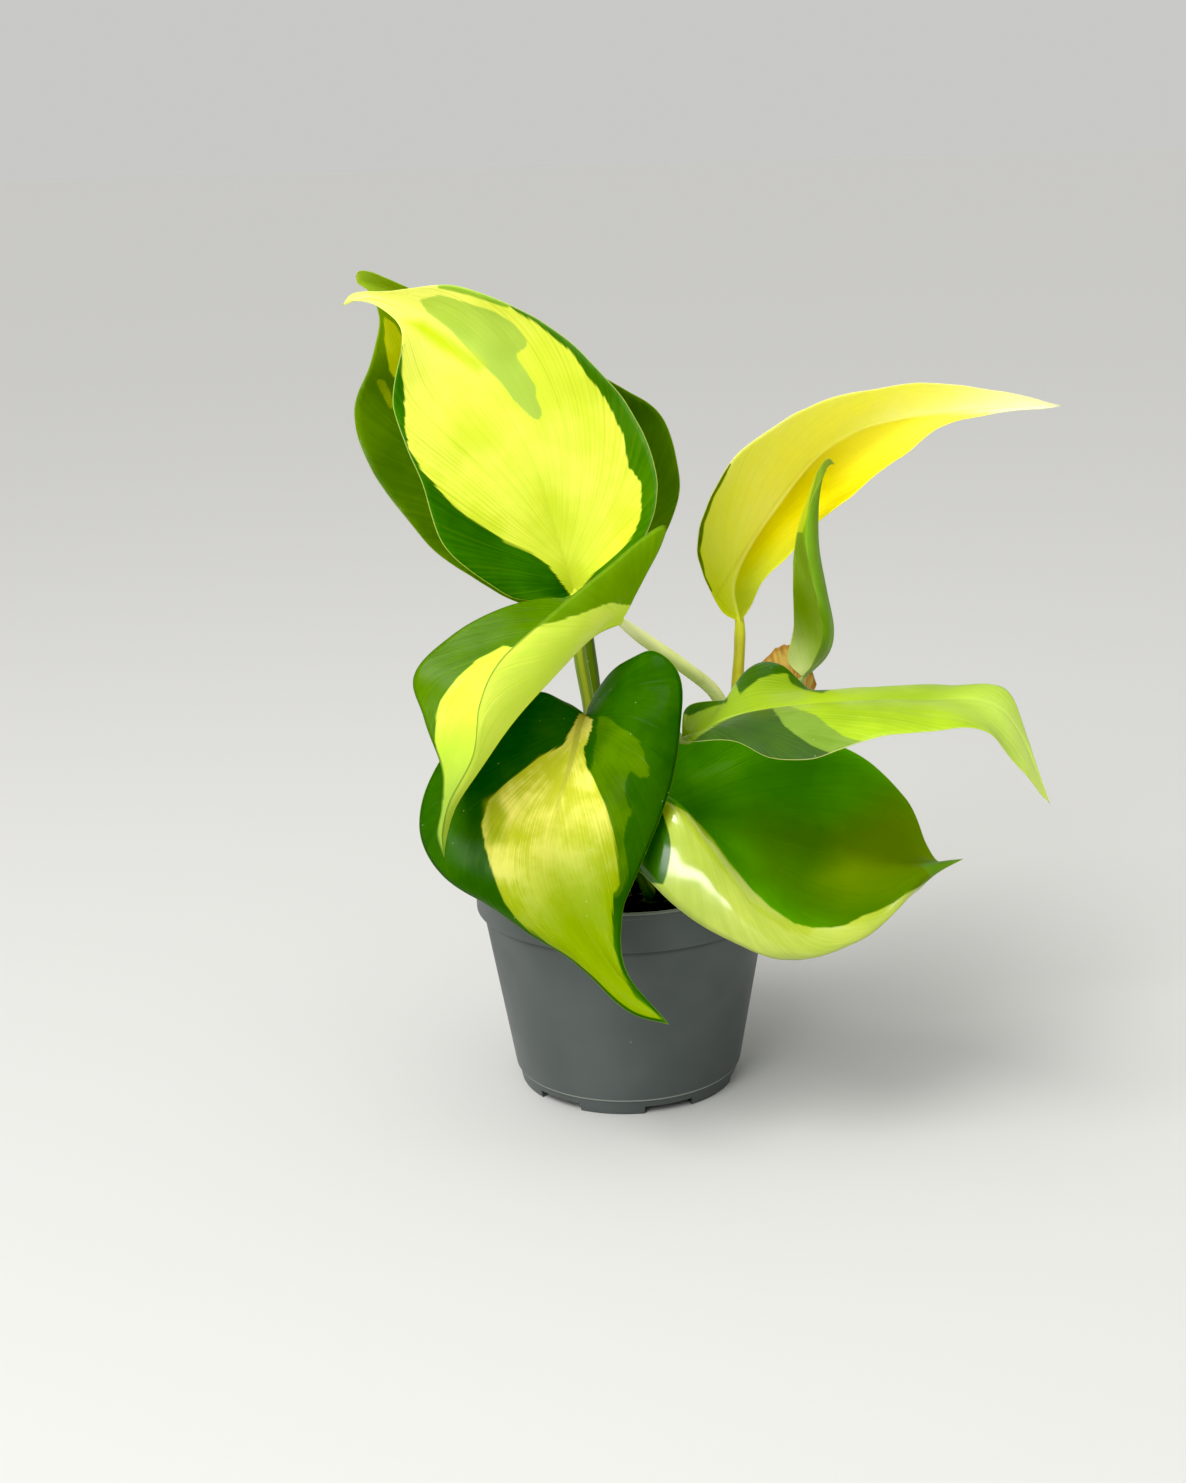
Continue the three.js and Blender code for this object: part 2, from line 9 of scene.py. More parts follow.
import logging
import math
from dataclasses import dataclass
from enum import Enum

import bpy
import numpy as np
from mathutils import Matrix


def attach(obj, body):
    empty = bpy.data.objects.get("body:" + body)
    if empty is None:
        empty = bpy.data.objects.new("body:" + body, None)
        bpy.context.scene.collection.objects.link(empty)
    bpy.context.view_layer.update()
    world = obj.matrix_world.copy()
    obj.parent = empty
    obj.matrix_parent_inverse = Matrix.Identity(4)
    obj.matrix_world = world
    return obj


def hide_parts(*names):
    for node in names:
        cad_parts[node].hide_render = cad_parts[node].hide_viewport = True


LOG = logging.getLogger("philodendron")
MM = 0.001
BODY = "root"

Array = np.ndarray
Piece = bpy.types.Object
Tree = bpy.types.NodeTree
Socket = bpy.types.NodeSocket
Span = tuple[float, float]
Point = tuple[float, float, float]
Ramp = tuple[float, float, float, float]
Route = tuple[Point, ...]
Outline = tuple[Span, ...]
Shading = tuple[Socket, Socket, Socket]
Colour = int

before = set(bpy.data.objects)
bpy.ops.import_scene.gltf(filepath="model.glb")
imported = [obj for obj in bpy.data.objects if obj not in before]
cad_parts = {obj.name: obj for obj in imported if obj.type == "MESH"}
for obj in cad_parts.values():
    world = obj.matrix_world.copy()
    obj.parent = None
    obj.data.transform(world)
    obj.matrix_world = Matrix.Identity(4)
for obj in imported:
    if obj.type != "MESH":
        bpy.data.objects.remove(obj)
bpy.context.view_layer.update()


def tint(colour: Colour) -> tuple[float, ...]:
    """Gives a shader colour from a display colour: two hex digits each for red, green and blue.

    The display curve is undone: a straight line in the darks, and a power above its knee.

    Args:
        colour: the display colour as a whole number.

    Returns:
        The colour in linear light, with full alpha.
    """
    knee, slope, shift, power = 0.04045, 12.92, 0.055, 2.4
    display = np.array([colour >> 16, colour >> 8 & 255, colour & 255]) / 255
    linear = np.where(display <= knee, display / slope, ((display + shift) / (1 + shift)) ** power)
    return (*[float(value) for value in linear], 1.0)


def add_object(name: str, data: bpy.types.ID) -> Piece:
    """Puts data into the scene as an object."""
    made = bpy.data.objects.new(name, data)
    bpy.context.scene.collection.objects.link(made)
    return made


def placing(place: Point, right: Array, up: Array, back: Array) -> Matrix:
    """Gives a camera's or lamp's placing in metres, from its place in millimetres and its axes."""
    turn = Matrix([axis.tolist() for axis in (right, up, back)]).transposed().to_4x4()
    return Matrix.Translation([value * MM for value in place]) @ turn


class Side(Enum):
    """The half of a blade that a patch of colour keeps to, as the sign of the way across."""

    LEFT = -1
    RIGHT = 1
    BOTH = 0


@dataclass(frozen=True)
class Viewpoint:
    """The photograph's camera, found from the ellipses of the pot's rim, band and foot."""

    focal: float = 2124.5
    width: float = 1186.0
    height: float = 1483.0
    pitch: float = math.radians(15.95)
    roll: float = math.radians(-1.57)
    place: Point = (-8.3, -600.0, 275.9)
    sensor: float = 36.0
    reach: float = 100.0

    def axes(self) -> tuple[Array, Array, Array]:
        """Gives the unit vectors to the picture's right, up, and into the picture."""
        forward = np.array([0.0, math.cos(self.pitch), -math.sin(self.pitch)])
        level = np.array([1.0, 0.0, 0.0])
        upright = np.cross(level, forward)
        right = level * math.cos(self.roll) + upright * math.sin(self.roll)
        up = -level * math.sin(self.roll) + upright * math.cos(self.roll)
        return right, up, forward

    def pixels(self, points: Array) -> Array:
        """Projects points to the picture by the pinhole rule: focal length times offset over depth.

        Args:
            points: array of points in millimetres, with the three coordinates last.

        Returns:
            Array of the same shape with two picture coordinates last.
        """
        right, up, forward = self.axes()
        offset = points - np.array(self.place)
        depth = offset @ forward
        across = self.width / 2 + self.focal * (offset @ right) / depth
        down = self.height / 2 - self.focal * (offset @ up) / depth
        return np.stack([across, down], axis=-1)

    def build(self) -> None:
        """Makes the scene's camera at this viewpoint."""
        right, up, forward = self.axes()
        data = bpy.data.cameras.new("view")
        data.lens = self.focal * self.sensor / self.height
        data.sensor_width = self.sensor
        data.clip_end = self.reach
        camera = add_object("view", data)
        camera.matrix_world = placing(self.place, right, up, -forward)
        bpy.context.scene.camera = camera


VIEW = Viewpoint()


def curve_points(controls: Array, shares: Array, chords: int = 60) -> Array:
    """Samples a smooth curve through control points at shares of its length.

    Between two control points the curve is the cubic whose slope at each is half the step between
    its neighbours. Past each end the neighbour is the end mirrored. Shares are turned into curve
    places by adding up the lengths of many short chords.

    Args:
        controls: (n, 3) control points.
        shares: shares of the whole length, from 0 to 1.
        chords: how many chords measure the way, for each control point.

    Returns:
        One point for each share.
    """
    padded = np.vstack([2 * controls[0] - controls[1], controls, 2 * controls[-1] - controls[-2]])

    def evaluate(place: Array) -> Array:
        """Gives the curve's points at places counted in control points."""
        index = np.clip(place.astype(int), 0, len(controls) - 2)
        part = (place - index)[:, None]
        before, start, end, after = (padded[index + step] for step in range(4))
        leave, arrive = (end - before) / 2, (after - start) / 2
        return (
            start
            + leave * part
            + (3 * (end - start) - 2 * leave - arrive) * part**2
            + (2 * (start - end) + leave + arrive) * part**3
        )

    places = np.linspace(0, len(controls) - 1, chords * len(controls))
    steps = np.linalg.norm(np.diff(evaluate(places), axis=0), axis=1)
    lengths = np.concatenate([[0.0], np.cumsum(steps)])
    return evaluate(np.interp(shares * lengths[-1], lengths, places))


def parabola(first: Array, middle: Array, last: Array, share: Array) -> Array:
    """Gives points of the parabola that goes through three points at the shares 0, a half and 1."""
    return (first * (1 - share) * (1 - 2 * share) + middle * 4 * share * (1 - share)
            + last * share * (2 * share - 1))


def smoothstep(values: Array, low: float, high: float) -> Array:
    """Rises from 0 to 1 between low and high, flat at both ends."""
    share = np.clip((values - low) / (high - low), 0, 1)
    return share * share * (3 - 2 * share)


def bell(values: Array, width: float) -> Array:
    """Falls from 1 at nought as the square of the distance grows, by a width."""
    return np.exp(-((values / width) ** 2))


def unit(vectors: Array) -> Array:
    """Scales vectors to length one."""
    return vectors / np.maximum(np.linalg.norm(vectors, axis=-1, keepdims=True), 1e-12)


def turns(count: int) -> Array:
    """Gives a round's angles at even steps."""
    return np.linspace(0, 2 * np.pi, count, endpoint=False)


def spread(values: Array, shape: tuple[int, ...], *ends: float) -> Array:
    """Spreads values over a grid, and puts the end points' values after them."""
    return np.concatenate([np.broadcast_to(values, shape).ravel(), ends])


class Roughness2D:
    """Smooth unevenness over a plane: seeded heights on a square lattice, blended between."""

    layer_shift: Span = (11.3, 5.7)

    def __init__(self, seed: int, size: int = 64) -> None:
        """Draws the lattice's heights from a seed."""
        self.size = size
        self.table = np.random.default_rng(seed).uniform(-1, 1, (size, size))

    def at(self, x: Array, y: Array) -> Array:
        """Gives heights of -1 to 1 at plane places, by smooth weights between four lattice corners.

        Args:
            x: first coordinates, in lattice steps.
            y: second coordinates, in lattice steps.

        Returns:
            One height for each place.
        """
        column, row = np.floor(x).astype(int), np.floor(y).astype(int)
        right, up = smoothstep(x - column, 0, 1), smoothstep(y - row, 0, 1)
        near, far = column % self.size, (column + 1) % self.size
        low, high = row % self.size, (row + 1) % self.size
        foot = self.table[near, low] * (1 - right) + self.table[far, low] * right
        head = self.table[near, high] * (1 - right) + self.table[far, high] * right
        return foot * (1 - up) + head * up

    def layered(self, x: Array, y: Array, layers: int) -> Array:
        """Adds up layers, each at twice the frequency and half the height of the one before."""
        total = np.zeros(np.broadcast(x, y).shape)
        for layer in range(layers):
            side, ahead = (layer * shift for shift in self.layer_shift)
            total += self.at(x * 2**layer + side, y * 2**layer + ahead) / 2**layer
        return total


def make_object(
    name: str,
    points: Array,
    quads: Array,
    triangles: Array | None = None,
    values: dict[str, Array] | None = None,
) -> Piece:
    """Puts arrays of points and faces into a mesh object at the origin.

    Args:
        name: the piece's name.
        points: (n, 3) points in millimetres.
        quads: (q, 4) point numbers of four-sided faces.
        triangles: (t, 3) point numbers of three-sided faces.
        values: float values for each point, by attribute name.

    Returns:
        The object, shaded smooth.
    """
    triangles = np.zeros((0, 3), int) if triangles is None else triangles
    mesh = bpy.data.meshes.new(name)
    corners = np.concatenate([quads.ravel(), triangles.ravel()]).astype(np.int32)
    totals = np.concatenate([np.full(len(quads), 4), np.full(len(triangles), 3)]).astype(np.int32)
    starts = np.concatenate([[0], np.cumsum(totals)[:-1]]).astype(np.int32)
    mesh.vertices.add(len(points))
    mesh.vertices.foreach_set("co", (points * MM).astype(np.float32).ravel())
    mesh.loops.add(len(corners))
    mesh.loops.foreach_set("vertex_index", corners)
    mesh.polygons.add(len(totals))
    mesh.polygons.foreach_set("loop_start", starts)
    mesh.polygons.foreach_set("loop_total", totals)
    mesh.polygons.foreach_set("use_smooth", np.ones(len(totals), bool))
    for key, numbers in (values or {}).items():
        layer = mesh.attributes.new(key, "FLOAT", "POINT")
        layer.data.foreach_set("value", numbers.astype(np.float32).ravel())
    mesh.update(calc_edges=True)
    mesh.validate()
    return add_object(name, mesh)


def grid_quads(rows: int, columns: int, closed: bool = False) -> Array:
    """Numbers the four-sided faces of a grid of points stored row by row.

    Args:
        rows: rows of points.
        columns: points in each row.
        closed: True where the last column joins the first.

    Returns:
        (faces, 4) point numbers, turned so that row direction times column direction faces out.
    """
    row, column = np.meshgrid(np.arange(rows - 1), np.arange(columns - (not closed)), indexing="ij")
    here, beside = row * columns + column, row * columns + (column + 1) % columns
    return np.stack([here, beside, beside + columns, here + columns], axis=-1).reshape(-1, 4)


def capped_rings(
    rings: Array, foot: Array, head: Array
) -> tuple[Array, Array, Array]:
    """Joins a stack of rings into a closed skin, with a fan to a point at each end.

    Args:
        rings: (rings, sides, 3) points, from foot to head and anticlockwise seen from the head.
        foot: the point that closes the first ring.
        head: the point that closes the last ring.

    Returns:
        The points, the foot and head last, and the four-sided and three-sided faces.
    """
    count, sides = rings.shape[:2]
    total = count * sides
    column = np.arange(sides)
    beside = (column + 1) % sides
    last = total - sides
    fans = np.concatenate([
        np.stack([np.full(sides, total), beside, column], axis=1),
        np.stack([last + column, last + beside, np.full(sides, total + 1)], axis=1),
    ])
    points = np.vstack([rings.reshape(-1, 3), foot, head])
    return points, grid_quads(count, sides, closed=True), fans


def sheet_quads(rows: int, columns: int, ends: bool = False) -> Array:
    """Numbers the faces of a thin sheet: an upper grid, an under grid and strips between.

    Args:
        rows: rows of points in each grid.
        columns: points in each row.
        ends: True where strips close the first and the last row as well as the sides.

    Returns:
        (faces, 4) point numbers, the upper grid's points first.
    """
    block = rows * columns
    upper = grid_quads(rows, columns)
    row = np.arange(rows - 1) * columns
    last = row + columns - 1
    edges = [(row, row + columns), (last + columns, last)]
    if ends:
        column = np.arange(columns - 1)
        foot = block - columns + column
        edges += [(column + 1, column), (foot, foot + 1)]
    strips = [np.stack([first, second, second + block, first + block], axis=1)
              for first, second in edges]
    return np.concatenate([upper, upper[:, ::-1] + block, *strips])


def outline_depth(places: Array, outline: Outline) -> Array:
    """Measures how deep places lie inside a closed outline.

    The distance is the least one to any side of the outline. A place is inside where a level line
    from it crosses the outline an odd number of times.

    Args:
        places: (n, 2) places.
        outline: corners of the outline, in the same units.

    Returns:
        The distance to the outline, positive inside and negative outside.
    """
    start = np.array(outline, float)
    end = np.roll(start, -1, axis=0)
    side = end - start
    offset = places[:, None, :] - start[None]
    share = np.clip((offset * side).sum(-1) / (side * side).sum(-1), 0, 1)
    distance = np.linalg.norm(offset - share[..., None] * side, axis=-1).min(axis=1)
    above = (start[None, :, 1] > places[:, None, 1]) != (end[None, :, 1] > places[:, None, 1])
    slope = side[:, 0] / np.where(side[:, 1] == 0, 1e-9, side[:, 1])
    crossing = start[:, 0] + (places[:, None, 1] - start[:, 1]) * slope
    crossings = (above & (places[:, None, 0] < crossing)).sum(axis=1)
    return np.where(crossings % 2 == 1, distance, -distance)


class Wiring:
    """Adds and joins nodes in one shader node tree."""

    def __init__(self, tree: Tree) -> None:
        """Keeps the node tree."""
        self.tree = tree

    def fill(self, node: bpy.types.Node, inputs: dict) -> bpy.types.Node:
        """Joins sockets to a node's inputs or sets plain values, colours by their display values.

        Args:
            node: the node.
            inputs: sockets and plain values, by input name or number.

        Returns:
            The same node.
        """
        for key, value in inputs.items():
            if isinstance(value, Socket):
                self.tree.links.new(value, node.inputs[key])
            else:
                coloured = node.inputs[key].type == "RGBA"
                node.inputs[key].default_value = tint(value) if coloured else value
        return node

    def node(self, kind: str, inputs: dict, **settings: object) -> bpy.types.Node:
        """Adds a node.

        Args:
            kind: the node's type name, without the words for a shader node.
            inputs: sockets to join, or plain values, by input name or number.
            settings: properties of the node.

        Returns:
            The new node.
        """
        made = self.tree.nodes.new("ShaderNode" + kind)
        for key, value in settings.items():
            setattr(made, key, value)
        return self.fill(made, inputs)

    def math(self, operation: str, first: object, second: object = 0.0) -> Socket:
        """Joins two values by an arithmetic operation and returns the result."""
        return self.node("Math", {0: first, 1: second}, operation=operation).outputs[0]

    def times(self, first: object, second: object) -> Socket:
        """Multiplies two values."""
        return self.math("MULTIPLY", first, second)

    def plus(self, first: object, second: object) -> Socket:
        """Adds two values."""
        return self.math("ADD", first, second)

    def attribute(self, name: str) -> Socket:
        """Reads a float value stored on the piece's points."""
        return self.node("Attribute", {}, attribute_name=name).outputs["Fac"]

    def blend(self, share: object, base: object, over: object) -> Socket:
        """Lays one colour over another by a share."""
        return self.node("Mix", {0: share, 6: base, 7: over}, data_type="RGBA").outputs[2]

    def lay(self, base: object, over: object, mask: Socket, share: float) -> Socket:
        """Lays one colour over another by a share of a mask."""
        return self.blend(self.times(mask, share), base, over)

    def cover(self, base: object, over: object, value: Socket, low: float, high: float,
              most: float = 1.0) -> Socket:
        """Lays one colour over another, up to a share, as a value goes from low to high."""
        return self.blend(self.step(value, low, high, 0.0, most), base, over)

    def step(self, value: Socket, low: object, high: object, least: float = 0.0,
             most: float = 1.0) -> Socket:
        """Rises smoothly from least to most as a value goes from low to high."""
        inputs = {"Value": value, "From Min": low, "From Max": high, "To Min": least,
                  "To Max": most}
        return self.node("MapRange", inputs, interpolation_type="SMOOTHSTEP").outputs["Result"]

    def noise(self, place: Socket, scale: float, detail: float = 2.0) -> Socket:
        """Gives smooth unevenness of 0 to 1 over a place."""
        inputs = {"Vector": place, "Scale": scale, "Detail": detail}
        return self.node("TexNoise", inputs).outputs["Fac"]

    def fibres(self, around: float, along: float, detail: float) -> Socket:
        """Gives unevenness drawn out along a piece, by how often it changes around and along."""
        place = self.vector(self.times(self.attribute("around"), around),
                            self.times(self.attribute("along"), along))
        return self.noise(place, 1.0, detail)

    def vector(self, x: object, y: object, z: object = 0.0) -> Socket:
        """Makes a place from three values."""
        return self.node("CombineXYZ", {0: x, 1: y, 2: z}).outputs[0]

    def place(self) -> Socket:
        """Reads the place in the object's own coordinates."""
        return self.node("TexCoord", {}).outputs["Object"]

    def bump(self, height: Socket, strength: float, depth: float) -> Socket:
        """Turns a height into a normal, at a strength and a depth in millimetres."""
        inputs = {"Height": height, "Strength": strength, "Distance": depth * MM}
        return self.node("Bump", inputs).outputs["Normal"]

    def group(self, tree: Tree, inputs: dict) -> bpy.types.NodeOutputs:
        """Places a shared effect with its own values and gives its outputs."""
        return self.node("Group", inputs, node_tree=tree).outputs


def new_group(
    name: str, inputs: dict[str, float | Point], outputs: tuple[str, ...]
) -> tuple[Wiring, bpy.types.NodeOutputs, bpy.types.Node]:
    """Starts a shared effect.

    Args:
        name: the effect's name.
        inputs: its value inputs with their usual values.
        outputs: its value outputs.

    Returns:
        The wiring inside it, the outputs of its input node, and its output node.
    """
    tree = bpy.data.node_groups.new(name, "ShaderNodeTree")
    for key, value in inputs.items():
        kind = "NodeSocketVector" if isinstance(value, tuple) else "NodeSocketFloat"
        made = tree.interface.new_socket(key, in_out="INPUT", socket_type=kind)
        made.default_value = value
    for key in outputs:
        tree.interface.new_socket(key, in_out="OUTPUT", socket_type="NodeSocketFloat")
    given = tree.nodes.new("NodeGroupInput").outputs
    return Wiring(tree), given, tree.nodes.new("NodeGroupOutput")


class Effects:
    """The shared effects, each built once."""

    drift_scale: float = 6.0
    drift_reach: float = 0.05
    line_start: float = 0.86
    fine_start: float = 0.55
    fine_count: float = 5.0
    streak_scale: float = 70.0
    streak_across: float = 2.5
    line_height: float = -1.0
    fine_height: float = -0.25
    streak_height: float = 0.35

    def __init__(self) -> None:
        """Builds every effect."""
        self.veins = self._veins()
        self.patch = self._patch()
        self.mottle = self._mottle()
        self.specks = self._specks()

    def _veins(self) -> Tree:
        """Veins: lines at even steps of the vein coordinate, and streaks drawn out along them."""
        names = {"Vein": 0.0, "Across": 0.0, "Count": 9.0, "Seed": 0.0}
        wire, given, end = new_group("vein_fan", names, ("Line", "Fine", "Streak", "Height"))
        vein, across, count, seed = (given[key] for key in names)
        drift = wire.noise(wire.vector(wire.times(vein, self.drift_scale), across, seed), 1.0, 1.0)
        bent = wire.plus(vein, wire.times(drift, self.drift_reach))

        def ridge(lines: Socket, start: float) -> Socket:
            """Lines where the counted coordinate is near a whole number."""
            part = wire.math("FRACT", wire.times(bent, lines))
            away = wire.times(wire.math("ABSOLUTE", wire.math("SUBTRACT", part, 0.5)), 2.0)
            return wire.step(away, start, 1.0)

        line = ridge(count, self.line_start)
        fine = ridge(wire.times(count, self.fine_count), self.fine_start)
        streak_place = wire.vector(wire.times(bent, self.streak_scale),
                                   wire.times(across, self.streak_across), seed)
        streak = wire.noise(streak_place, 1.0, 3.0)
        grooves = wire.plus(wire.times(line, self.line_height), wire.times(fine, self.fine_height))
        height = wire.plus(grooves, wire.times(streak, self.streak_height))
        wire.fill(end, {"Line": line, "Fine": fine, "Streak": streak, "Height": height})
        return wire.tree

    def _patch(self) -> Tree:
        """Patch: inside an outline whose edge steps in and out along the veins' streaks."""
        names = {"Depth": 0.0, "Streak": 0.5, "Jag": 2.0, "Soft": 0.4}
        wire, given, end = new_group("patch_edge", names, ("Mask",))
        depth, streak, jag, soft = (given[key] for key in names)
        shift = wire.times(wire.math("SUBTRACT", streak, 0.5), jag)
        moved = wire.plus(depth, wire.times(shift, 2.0))
        wire.fill(end, {"Mask": wire.step(moved, wire.times(soft, -1.0), soft)})
        return wire.tree

    def _mottle(self) -> Tree:
        """Mottle: broad cloudy unevenness of a surface, and a fine one."""
        names = {"Place": (0.0, 0.0, 0.0), "Broad": 60.0, "Fine": 900.0}
        wire, given, end = new_group("mottle", names, ("Cloud", "Grain"))
        place, broad, fine = (given[key] for key in names)
        wire.fill(end, {"Cloud": wire.noise(place, broad, 3.0),
                        "Grain": wire.noise(place, fine, 2.0)})
        return wire.tree

    def _specks(self) -> Tree:
        """Specks: few small round dots at random cell centres, kept where a cell's draw is low."""
        names = {"Place": (0.0, 0.0, 0.0), "Scale": 160.0, "Radius": 0.08, "Share": 0.1}
        wire, given, end = new_group("specks", names, ("Mask",))
        place, scale, radius, share = (given[key] for key in names)
        cells = wire.node("TexVoronoi", {"Vector": place, "Scale": scale}).outputs
        draw = wire.node("SeparateColor", {0: cells["Color"]}).outputs[0]
        kept = wire.math("LESS_THAN", draw, share)
        dot = wire.step(cells["Distance"], radius, wire.times(radius, 0.5))
        wire.fill(end, {"Mask": wire.times(dot, kept)})
        return wire.tree

    def clouds(self, wire: Wiring, broad: float, fine: float) -> tuple[Socket, Socket]:
        """Places the mottle on the object's own coordinates and gives its cloud and grain."""
        made = wire.group(self.mottle, {"Place": wire.place(), "Broad": broad, "Fine": fine})
        return made["Cloud"], made["Grain"]

    def dots(self, wire: Wiring, scale: float, share: float, radius: float) -> Socket:
        """Places the specks on the object's own coordinates and gives their mask."""
        inputs = {"Place": wire.place(), "Scale": scale, "Share": share, "Radius": radius}
        return wire.group(self.specks, inputs)["Mask"]


EFFECTS = Effects()


class Finish:
    """What the finishes share: a material whose one shader takes what the finish works out."""

    def surface(self, wire: Wiring) -> Shading:
        """Works out the colour, the value that the roughness follows, and the relief's height."""
        raise NotImplementedError

    def inputs(self, wire: Wiring) -> dict:
        """Gives the shader's inputs by name, as sockets or plain values."""
        colour, gloss, height = self.surface(wire)
        return {"Base Color": colour, "Roughness": wire.step(gloss, *self.roughness),
                "Normal": wire.bump(height, *self.relief)}

    def material(self, name: str) -> bpy.types.Material:
        """Builds the finish's material under a name."""
        material = bpy.data.materials.new(name)
        material.use_nodes = True
        wire = Wiring(material.node_tree)
        wire.fill(material.node_tree.nodes["Principled BSDF"], self.inputs(wire))
        return material


@dataclass(frozen=True)
class Patch:
    """A patch of other colour on a blade, outlined where the photograph shows it, in its pixels."""

    name: str
    outline: Outline
    colour: Colour
    shade: Colour
    side: Side = Side.BOTH
    near: Colour | None = None
    far: Colour | None = None
    near_end: float = 0.3
    far_start: float = 0.5
    fade: float = 0.35
    jag: float = 0.7
    soft: float = 0.3

    def paint(self, wire: Wiring, vary: Socket, flecks: Socket, along: Socket) -> Socket:
        """Mixes the patch's own colour.

        Args:
            wire: the material's wiring.
            vary: unevenness of 0 to 1 that mixes the colour and its shade.
            flecks: share of the shade in small flecks over every colour.
            along: the share from joint to tip, which fades the near colour out and the far one in.

        Returns:
            The patch's colour.
        """
        colour = wire.blend(vary, self.colour, self.shade)
        if self.near:
            colour = wire.cover(colour, self.near, along, self.near_end, self.near_end / 3)
        if self.far:
            colour = wire.cover(colour, self.far, along, self.far_start, self.far_start + self.fade)
        return wire.blend(flecks, colour, self.shade)

    def depth(self, points: Array, across: Array) -> Array:
        """Measures the patch over a blade's grid, in millimetres inside its outline.

        Args:
            points: (rows, columns, 3) grid of the blade, in millimetres.
            across: signed way across of each column.

        Returns:
            (rows, columns) depths, negative outside and on the blade's other half.
        """
        place = VIEW.pixels(points).reshape(-1, 2)
        reach = (points - np.array(VIEW.place)) @ VIEW.axes()[2]
        depth = outline_depth(place, self.outline).reshape(reach.shape) * reach / VIEW.focal
        other = np.broadcast_to(across * self.side.value < 0, depth.shape)
        return np.where(other, -np.abs(depth) - self.jag * 2, depth)


